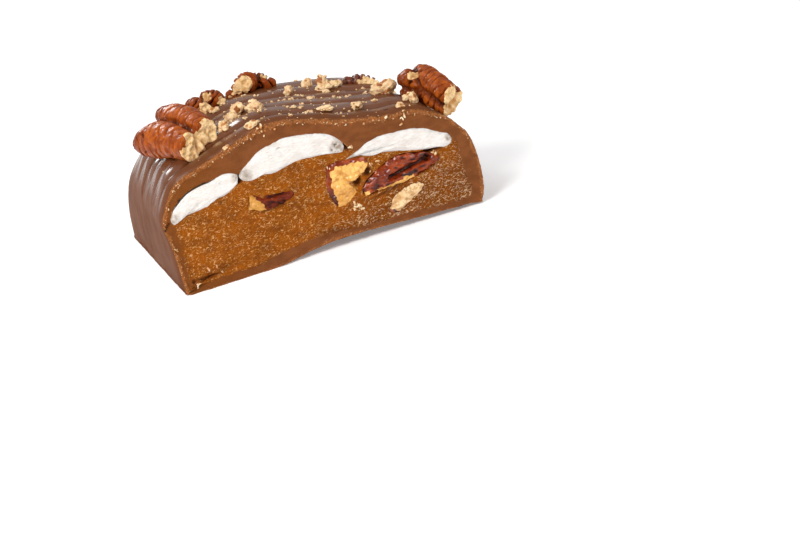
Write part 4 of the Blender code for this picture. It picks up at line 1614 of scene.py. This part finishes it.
    def build(self) -> bpy.types.Object:
        """The fused body with its finer surface and its cream and crease masks.

        Returns:
            The piece, not yet in the scene.
        """
        body = self.fused()
        bm = bmesh.new()
        bm.from_mesh(body.data)
        bpy.data.objects.remove(body)
        for _ in range(self.rounding):
            bmesh.ops.smooth_vert(
                bm, verts=bm.verts[:], factor=0.5, use_axis_x=True, use_axis_y=True, use_axis_z=True
            )
        bm.normal_update()
        places = np.array([v.co for v in bm.verts]) / MM
        normals = np.array([v.normal for v in bm.verts])
        rise, cream, crease = self.surface(places)
        masks = {"cream": cream, "crease": crease}
        layers = [(bm.verts.layers.float.new(key), mask) for key, mask in masks.items()]
        for i, vert in enumerate(bm.verts):
            vert.co = (places[i] + normals[i] * rise[i]) * MM
            for layer, mask in layers:
                vert[layer] = float(mask[i])
        return finished_mesh(bm, self.name)


@dataclass(frozen=True)
class Bit:
    """One chopped bit: its place across and along the bar, its width and its height."""

    x: float
    y: float
    width: float
    height: float


CHOPPED: tuple[Bit, ...] = tuple(Bit(*row) for row in (
    (-9.3, 1.8, 1.3, 1.2), (-9.0, -10.6, 2.6, 2.2), (-7.4, -9.2, 2.4, 2.8), (-11.3, -15.9, 2.2, 2.4),
    (-4.3, -10.9, 3.0, 2.4), (-7.9, -24.2, 1.9, 1.5), (4.3, 2.3, 1.5, 1.6), (8.5, 5.3, 1.7, 2.4),
    (10.6, 2.1, 2.4, 2.2), (12.3, 2.4, 2.0, 1.8), (18.4, -9.2, 3.6, 2.8), (11.2, -17.6, 1.7, 1.5),
    (16.9, -23.4, 1.5, 1.4), (5.6, -17.4, 2.1, 0.9), (6.7, -3.3, 1.4, 0.8), (20.6, -17.2, 2.4, 2.2),
    (-17.0, 9.5, 1.8, 1.6), (-13.0, 14.5, 2.0, 1.6), (-6.0, 17.0, 1.5, 1.3), (6.5, 21.5, 2.2, 1.4),
    (12.5, 11.5, 1.6, 1.2), (-2.0, 22.5, 1.6, 1.2), (14.0, 21.0, 2.0, 1.4), (21.5, 0.5, 1.5, 1.3),
    (-20.5, 3.5, 1.4, 1.2), (-14.5, 21.5, 1.7, 1.3),
))
SMALL: tuple[Bit, ...] = tuple(Bit(*row) for row in (
    (14.7, -16.0, 0.8, 0.6), (1.0, -15.8, 1.1, 0.4), (2.0, -16.4, 0.8, 0.4), (3.0, -17.6, 1.0, 0.4),
    (5.7, -10.7, 1.2, 0.4), (13.2, -4.4, 0.8, 0.5), (11.9, -2.2, 0.5, 0.4), (15.8, -5.1, 0.6, 0.5),
    (11.8, -8.4, 0.6, 0.4), (-1.3, -23.6, 0.6, 0.5), (-2.6, 8.1, 0.6, 0.5), (-7.6, -17.0, 0.7, 0.5),
    (-13.4, -26.3, 1.0, 0.6), (-4.9, -16.3, 0.8, 0.5), (21.0, -17.7, 0.5, 0.4), (21.4, -18.7, 0.4, 0.4),
    (1.0, -4.2, 0.5, 0.4), (2.2, -3.0, 0.6, 0.5), (2.9, -4.3, 0.5, 0.4),
))


@dataclass
class Crumbs:
    """The chopped pecan, small crumbs and dust stuck in the top of the coat."""

    coat: bpy.types.Object
    sunk: float = 0.33
    dust: int = 240
    drop_height: float = 60.0
    seed: int = 11

    def __post_init__(self) -> None:
        """Reads the coat's surface once."""
        bm = bmesh.new()
        bm.from_mesh(self.coat.data)
        self.surface = BVHTree.FromBMesh(bm)
        bm.free()

    def landing(self, x: float, y: float) -> tuple[Vector, Vector] | None:
        """Where a crumb dropped at a place meets the coat, and the way the coat faces there."""
        start = Vector((x, y, self.drop_height)) * MM
        place, normal, _, _ = self.surface.ray_cast(start, Vector((0.0, 0.0, -1.0)))
        return (place / MM, normal) if place is not None else None

    def lump(
        self, whole: bmesh.types.BMesh, bit: Bit, detail: int, rng: random.Random, layers: list
    ) -> None:
        """Adds one rough bit: the outline of a few merged balls, pitted and broken.

        Args:
            whole: the mesh that gets it.
            bit: its place and size.
            detail: how finely its ball is divided.
            rng: the source of its variation.
            layers: the cream and crease layers of the mesh.
        """
        found = self.landing(bit.x, bit.y)
        if found is None:
            return
        place, normal = found
        turn = Euler((rng.uniform(-0.4, 0.4), rng.uniform(-0.4, 0.4), rng.uniform(0.0, math.pi)))
        turn = turn.to_matrix()
        shift = rng.uniform(0.0, 90.0)
        knobs = []
        for _ in range(rng.randint(4, 7)):
            way = Vector((rng.gauss(0, 1), rng.gauss(0, 1), rng.gauss(0, 0.8))).normalized()
            knobs.append((way * rng.uniform(0.45, 0.75), rng.uniform(0.34, 0.52)))
        ball = bmesh.ops.create_icosphere(whole, subdivisions=detail, radius=1.0)["verts"]
        half = Vector((bit.width * 0.66, bit.width * 0.56, bit.height * 0.68))
        upright = UP.rotation_difference(normal.lerp(UP, 0.5)).to_matrix()
        centre = place + UP * (bit.height * (0.5 - self.sunk))
        for vert in ball:
            way = vert.co.normalized()
            reach = 0.62
            for middle, radius in knobs:
                ahead = way.dot(middle)
                spare = radius * radius - middle.length_squared + ahead * ahead
                if spare > 0.0 and ahead > 0.0:
                    reach = max(reach, ahead + math.sqrt(spare))
            rough = noise.fractal(way * 3.0 + Vector((shift, 5.0, shift)), 0.7, 2.2, 3)
            rough += 0.5 * abs(noise.noise(way * 7.0 + Vector((shift, 1.0, 4.0)))) - 0.1
            broad = noise.noise(way * 1.3 + Vector((shift, 2.0, 3.0)))
            reach = max(0.4, reach + 0.17 * rough + 0.12 * broad)
            local = turn @ (way * reach)
            local = Vector((local.x * half.x, local.y * half.y, local.z * half.z))
            vert.co = (centre + upright @ local) * MM
            patch = noise.noise(way * 1.4 + Vector((2.0, 9.0, shift)))
            vert[layers[0]] = min(1.0, max(0.0, (0.42 - patch) * 5.0))
            # Crease: painted shade in the lump's hollows.
            vert[layers[1]] = min(1.0, max(0.0, -rough * 1.6 - 0.25))

    def build(self, name: str, bits: tuple[Bit, ...], detail: int) -> bpy.types.Object:
        """One piece of all the bits of a kind.

        Args:
            name: the object's name.
            bits: the bits.
            detail: how finely each bit's ball is divided.
        Returns:
            The piece, not yet in the scene.
        """
        rng = random.Random(self.seed + detail)
        whole = bmesh.new()
        layers = [whole.verts.layers.float.new(key) for key in ("cream", "crease")]
        for bit in bits:
            self.lump(whole, bit, detail, rng, layers)
        return finished_mesh(whole, name)

    def scattered(self) -> tuple[Bit, ...]:
        """Dust and grains over the top, thickest towards the middle of the front.

        Returns:
            The bits.
        """
        rng = random.Random(self.seed)
        found = []
        while len(found) < self.dust:
            x, y = rng.gauss(3.0, 11.0), rng.gauss(-9.0, 13.0)
            if abs(x) > 23.0 or not -26.5 < y < 22.0:
                continue
            size = 0.16 + 0.45 * rng.random() ** 4
            found.append(Bit(x, y, size, size * rng.uniform(0.6, 1.0)))
        return tuple(found)


@dataclass
class SugarAndGlintGrains:
    """Small bright grains stuck to the cut, along the rim, at the foot and by the nuts: partly sugar,
    partly painted glints.
    """

    shape: BarShape = field(default_factory=BarShape)
    clusters: Run = (
        (4.8, 6.0, 0.7, 9), (5.4, 5.4, 0.5, 6), (13.8, 5.8, 1.0, 5), (-24.0, 1.5, 0.9, 4),
        (-21.0, 2.8, 1.4, 3), (6.2, 15.9, 0.5, 4), (9.0, 12.0, 0.8, 4), (15.6, 18.3, 1.3, 8),
        (-7.0, 22.5, 1.5, 6), (20.0, 10.9, 0.6, 3), (2.0, 12.8, 1.0, 3),
    )
    cluster_size: tuple[float, float] = (0.12, 0.3)
    along_rim: int = 60
    rim_angles: tuple[float, float] = (0.35, 2.95)
    rim_size: tuple[float, float] = (0.06, 0.15)
    proud: float = 0.12
    seed: int = 5

    def spots(self) -> list[Place]:
        """Where the grains are.

        Returns:
            x, z and size of every grain.
        """
        rng = random.Random(self.seed)
        found = []
        for x, z, spread, count in self.clusters:
            for _ in range(int(count)):
                at = (x + rng.gauss(0.0, spread * 0.5), z + rng.gauss(0.0, spread * 0.4))
                found.append((*at, rng.uniform(*self.cluster_size)))
        for _ in range(self.along_rim):
            angle = rng.uniform(*self.rim_angles)
            reach = float(self.shape.cut_radius(np.array(angle))) - rng.uniform(0.25, 0.9)
            found.append((reach * math.cos(angle), reach * math.sin(angle), rng.uniform(*self.rim_size)))
        return found

    def build(self) -> bpy.types.Object:
        """One piece of all the grains.

        Returns:
            The piece, not yet in the scene.
        """
        rng = random.Random(self.seed + 1)
        whole = bmesh.new()
        for x, z, size in self.spots():
            grains = bmesh.ops.create_icosphere(whole, subdivisions=2, radius=1.0)["verts"]
            shift = rng.uniform(0.0, 50.0)
            stretch = Vector((size * rng.uniform(0.7, 1.7), size * 0.7, size * rng.uniform(0.5, 0.9)))
            turn = Euler((0.0, rng.uniform(0.0, math.pi), 0.0)).to_matrix()
            for vert in grains:
                reach = 1.0 + 0.6 * noise.noise(vert.co * 1.9 + Vector((shift, 0.0, 0.0)))
                local = turn @ Vector(a * b * reach for a, b in zip(vert.co, stretch))
                vert.co = (local + Vector((x, CUT_Y - self.proud, z))) * MM
        return finished_mesh(whole, "sugar_and_glint_grains")


@dataclass(frozen=True)
class Lamp:
    """A square soft lamp: its place and width in millimetres, and its power in watts."""

    name: str
    at: Place
    side: float
    power: float

    def build(self) -> None:
        """Puts the lamp in the scene, facing the bar."""
        light = bpy.data.lights.new(self.name, "AREA")
        light.size = self.side * MM
        light.energy = self.power
        lamp = bpy.data.objects.new(self.name, light)
        bpy.context.scene.collection.objects.link(lamp)
        place = Vector(self.at) * MM
        turn = (-place).to_track_quat("-Z", "Y").to_matrix()
        lamp.matrix_world = Matrix.Translation(place) @ turn.to_4x4()


@dataclass(frozen=True)
class Studio:
    """The pale floor, the soft light and the camera."""

    lens: float = 100.0
    sensor: float = 36.0
    clip_start: float = 0.01
    camera_at: Place = (-67.55, -372.75, 99.44)
    right: Place = (0.93155, -0.27880, -0.23342)
    up: Place = (0.29798, 0.21749, 0.92946)
    back: Place = (-0.20837, -0.93540, 0.28568)
    floor_size: float = 3.0
    floor_colour: Colour = (0.93, 0.93, 0.93)
    floor_glow: float = 0.2
    sky: float = 0.8
    lamps: tuple[Lamp, ...] = (
        Lamp("window", (-230.0, -250.0, 250.0), 170.0, 1.45),
        Lamp("card", (260.0, -280.0, 220.0), 180.0, 0.6),
        Lamp("back_window", (-90.0, 400.0, 190.0), 120.0, 0.7),
    )

    def build(self) -> None:
        """Makes the floor, the world, the lamps and the camera."""
        self.floor()
        self.world()
        for lamp in self.lamps:
            lamp.build()
        self.camera()
        bpy.context.scene.view_settings.view_transform = "Standard"

    def floor(self) -> None:
        """A plain pale floor."""
        bm = bmesh.new()
        bmesh.ops.create_grid(bm, x_segments=1, y_segments=1, size=self.floor_size)
        ground = finished_mesh(bm, "floor")
        if ground.data.polygons[0].normal.z < 0.0:
            ground.data.flip_normals()
        bpy.context.scene.collection.objects.link(ground)
        material = bpy.data.materials.new("pale_floor")
        material.use_nodes = True
        Builder(material.node_tree).fill(material.node_tree.nodes["Principled BSDF"], {
            "Base Color": self.floor_colour, "Roughness": 0.9, "Specular IOR Level": 0.1,
            "Emission Color": WHITE, "Emission Strength": self.floor_glow,
        })
        ground.data.materials.append(material)

    def world(self) -> None:
        """White light from above and behind, and less of it from the side of the cut face."""
        world = bpy.data.worlds.new("studio")
        bpy.context.scene.world = world
        world.use_nodes = True
        build = Builder(world.node_tree)
        axes = build.node("ShaderNodeSeparateXYZ")
        build.fill(axes, {0: build.node("ShaderNodeTexCoord").outputs["Generated"]})
        behind = build.ramp(axes.outputs["Y"], -0.7, 0.4, 0.36, 1.0)
        above = build.ramp(axes.outputs["Z"], 0.1, 0.8, 0.58, 0.8)
        build.fill(world.node_tree.nodes["Background"], {
            "Color": WHITE, "Strength": build.times(build.times(behind, above), self.sky),
        })

    def camera(self) -> None:
        """The camera at the viewing angle of the cut face."""
        data = bpy.data.cameras.new("camera")
        data.lens = self.lens
        data.sensor_width = self.sensor
        data.clip_start = self.clip_start
        camera = bpy.data.objects.new("camera", data)
        bpy.context.scene.collection.objects.link(camera)
        turn = Matrix((self.right, self.up, self.back)).transposed()
        camera.matrix_world = Matrix.Translation(Vector(self.camera_at) * MM) @ turn.to_4x4()
        bpy.context.scene.camera = camera


@dataclass
class ToffeeBar:
    """The whole half bar, piece by piece."""

    finishes: Finishes

    def fillings(self) -> None:
        """The toffee, the three marshmallows and the four pieces of pecan in the cut."""
        toffee = Toffee(
            "toffee_slab",
            TOFFEE_OUTLINE,
            (0.0, 8.5), 23.5, edge_roll=0.05, around=380, face_rows=92,
            let_in=(
                (MARSHMALLOW_LEFT, 0.45, -0.05), (MARSHMALLOW_MIDDLE, 0.45, -0.05),
                (MARSHMALLOW_RIGHT, 0.45, -0.05),
                (PECAN_SMALL, 0.8, 0.0), (PECAN_MIDDLE, 0.8, 0.0), (PECAN_LONG, 0.9, 0.14),
                (PECAN_LOW, 0.7, 0.08),
            ),
        )
        settle(toffee.build(), self.finishes.toffee, Slot.TOFFEE, "toffee")
        for piece, node in (
            (Marshmallow(
                "marshmallow_left_piece", MARSHMALLOW_LEFT,
                (-18.6, 15.0), 19.0, proud=0.2, round_end=4.0, edge_roll=0.05, face_rows=34,
                bubbles=((-24.6, 13.0, 1.1), (-13.4, 16.6, 0.9)),
                pores=(Pit(-16.0, 16.4, 0.25, 0.2, 0.2),),
            ), "marshmallow_left"),
            (Marshmallow(
                "marshmallow_middle_piece", MARSHMALLOW_MIDDLE,
                (-3.6, 17.8), 19.0, proud=0.25, round_end=4.0, edge_roll=0.05, face_rows=40, around=190,
                bubbles=((-11.7, 16.4, 1.5), (4.0, 16.6, 1.7)),
                pores=(
                    Pit(-5.4, 19.2, 0.35, 0.14, 0.3), Pit(-7.0, 18.4, 0.3, 0.25, 0.2),
                    Pit(3.9, 17.0, 0.3, 0.25, 0.5), Pit(3.1, 16.3, 0.25, 0.25, 0.4),
                ),
            ), "marshmallow_middle"),
            (Marshmallow(
                "marshmallow_right_piece", MARSHMALLOW_RIGHT,
                (14.4, 14.2), 19.0, proud=0.2, round_end=4.0, edge_roll=0.05, face_rows=38, around=180,
                bubbles=((22.6, 12.6, 0.8), (6.0, 14.3, 0.9)),
                pores=(Pit(20.6, 13.9, 0.5, 0.12, 0.2, -35.0),),
            ), "marshmallow_right"),
        ):
            settle(piece.build(), self.finishes.marshmallow, Slot.MARSHMALLOW, node)
        for piece, node in (
            (InnerPecan(
                "pecan_slice_small", PECAN_SMALL,
                (-8.8, 11.1), 6.0, proud=0.25, ragged=0.3, around=110, face_rows=26,
                flesh=Flesh.LEFT_END,
            ), "inner_pecan_small"),
            (InnerPecan(
                "pecan_slice_middle", PECAN_MIDDLE,
                (3.4, 10.8), 9.0, proud=0.25, ragged=0.25, around=140, face_rows=36,
                flesh=Flesh.CROSS_SECTION,
            ), "inner_pecan_middle"),
            (InnerPecan(
                "pecan_slice_long", PECAN_LONG,
                (13.4, 9.6), 6.5, proud=0.55, ragged=0.3, around=170, face_rows=40,
                flesh=Flesh.LOWER_RIM,
                furrow=((11.6, 9.1), (18.6, 10.5)),
            ), "inner_pecan_long"),
            (InnerPecan(
                "pecan_slice_low", PECAN_LOW,
                (13.4, 5.1), 5.0, proud=0.25, ragged=0.35, around=110, face_rows=26,
                flesh=Flesh.ALL_BUT_FOOT,
            ), "inner_pecan_low"),
        ):
            settle(piece.build(), self.finishes.of_flesh(piece.flesh), Slot.PECAN, node)

    def toppings(self) -> None:
        """The five broken pieces of pecan on the coat."""
        for piece, node in (
            (TopPecan(
                "front_left_pecan",
                (((-23.3, -3.6, 21.4, 2.2), (-21.2, -8.0, 22.1, 3.15), (-19.3, -13.0, 22.2, 2.9),
                  (-17.6, -20.0, 21.6, 2.4)),
                 ((-18.7, -2.2, 24.4, 1.8), (-17.4, -6.5, 24.7, 2.35), (-15.9, -11.0, 24.2, 2.5),
                  (-14.5, -18.0, 22.8, 2.3)),
                 ((-21.6, -1.8, 22.3, 1.8), (-19.0, -6.0, 22.3, 2.2), (-17.0, -13.0, 21.7, 2.1),
                  (-16.2, -19.0, 21.6, 1.8))),
                (-16.2, -18.6, 22.0), (0.42, -0.9, 0.1), wrinkle_gap=2.2, wrinkle_depth=0.26,
                evenness=0.45, crack=0.42, voxel=0.17, seed=1.0,
                covers=((-19.9, -19.6, 23.4, 1.6), (-15.8, -18.5, 25.0, 1.3)),
            ), "top_pecan_front_left"),
            (TopPecan(
                "right_pecan",
                (((24.2, -9.5, 20.5, 1.1), (24.6, -12.5, 20.9, 1.75), (25.1, -16.5, 19.9, 2.1),
                  (26.1, -22.5, 17.4, 2.0)),
                 ((22.2, -9.0, 20.0, 1.5), (22.9, -12.0, 20.4, 1.95), (23.5, -14.5, 19.4, 1.5)),
                 ((22.0, -9.6, 17.9, 1.5), (22.8, -12.5, 17.8, 1.8), (23.5, -15.5, 17.4, 1.6)),
                 ((22.8, -13.0, 18.2, 1.2), (24.0, -18.0, 17.4, 1.5), (26.5, -24.4, 14.7, 1.5)),
                 ((26.3, -13.5, 19.1, 1.2), (27.0, -17.0, 18.2, 1.6), (27.3, -22.0, 16.3, 1.5)),
                 ((24.3, -12.0, 18.6, 1.4), (25.4, -17.0, 17.7, 1.9), (26.6, -23.5, 15.3, 1.6))),
                (26.4, -21.6, 16.4), (0.5, -0.8, -0.2), wrinkle_gap=1.4, wrinkle_depth=0.26,
                evenness=0.9,
                crack=0.45, voxel=0.16, seed=2.0,
                scars=((22.8, -13.6, 21.4, 1.1), (26.9, -20.6, 18.4, 0.9)),
            ), "top_pecan_right"),
            (TopPecan(
                "rear_left_pecan",
                (((-12.3, 7.0, 23.2, 1.2), (-11.4, 5.0, 23.0, 1.7), (-10.4, 3.0, 22.4, 1.1)),
                 ((-9.4, 7.5, 23.8, 1.2), (-8.3, 6.0, 23.3, 1.7), (-7.3, 5.0, 22.5, 1.3)),
                 ((-11.4, 6.0, 21.8, 1.6), (-8.2, 6.0, 22.0, 1.6))),
                (-9.4, 3.2, 22.0), (0.3, -0.95, 0.0), voxel=0.16, seed=3.0,
                scars=((-9.8, 5.4, 24.6, 1.3), (-6.9, 4.2, 23.4, 0.9)),
            ), "top_pecan_rear_left"),
            (TopPecan(
                "rear_pecan",
                (((-4.9, 11.0, 21.9, 0.9), (-3.3, 11.0, 22.3, 1.3), (-1.5, 11.0, 23.2, 2.0),
                  (0.2, 12.0, 23.2, 1.8)),
                 ((0.7, 13.0, 22.9, 1.9), (2.0, 12.0, 22.3, 1.7), (3.7, 12.0, 21.6, 1.1))),
                (-0.5, 9.0, 23.0), (-0.2, -0.95, 0.25), voxel=0.16, seed=4.0,
                scars=((-1.4, 9.2, 23.9, 0.8), (-1.9, 9.6, 21.6, 0.7), (2.9, 11.6, 23.9, 1.0),
                       (-0.4, 10.0, 25.0, 0.5)),
            ), "top_pecan_rear"),
            (TopPecan(
                "rear_right_pecan",
                (((14.9, 4.3, 19.8, 1.0), (17.4, 3.6, 19.3, 1.4), (19.8, 2.9, 18.2, 1.1)),
                 ((16.0, 5.2, 19.2, 1.2), (18.8, 4.8, 18.5, 1.2))),
                (17.6, 1.9, 18.8), (0.1, -0.98, 0.2), voxel=0.14, seed=5.0,
                scars=((18.9, 4.6, 20.0, 1.2),),
            ), "top_pecan_rear_right"),
        ):
            dark = piece.name == "rear_right_pecan"
            finish = self.finishes.dark_pecan if dark else self.finishes.pecan
            settle(piece.build(), finish, Slot.PECAN, node)

    def build(self) -> None:
        """Makes every piece in order."""
        coat = settle(Coat().build(), self.finishes.chocolate, Slot.CHOCOLATE, "chocolate_coat")
        self.fillings()
        self.toppings()
        crumbs = Crumbs(coat)
        settle(crumbs.build("chopped_pecan_bits", CHOPPED, 5), self.finishes.chopped, Slot.PECAN)
        settle(crumbs.build("pecan_crumbs", SMALL, 4), self.finishes.chopped, Slot.PECAN)
        settle(crumbs.build("pecan_dust", crumbs.scattered(), 2), self.finishes.chopped, Slot.PECAN)
        settle(SugarAndGlintGrains().build(), self.finishes.sugar, Slot.TOFFEE)


def main() -> None:
    """Loads the frame and builds the bar and its studio."""
    logging.basicConfig(level=logging.INFO, format="%(message)s")
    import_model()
    ToffeeBar(Finishes()).build()
    Studio().build()
    bpy.context.view_layer.update()


if __name__ == "__main__":
    main()
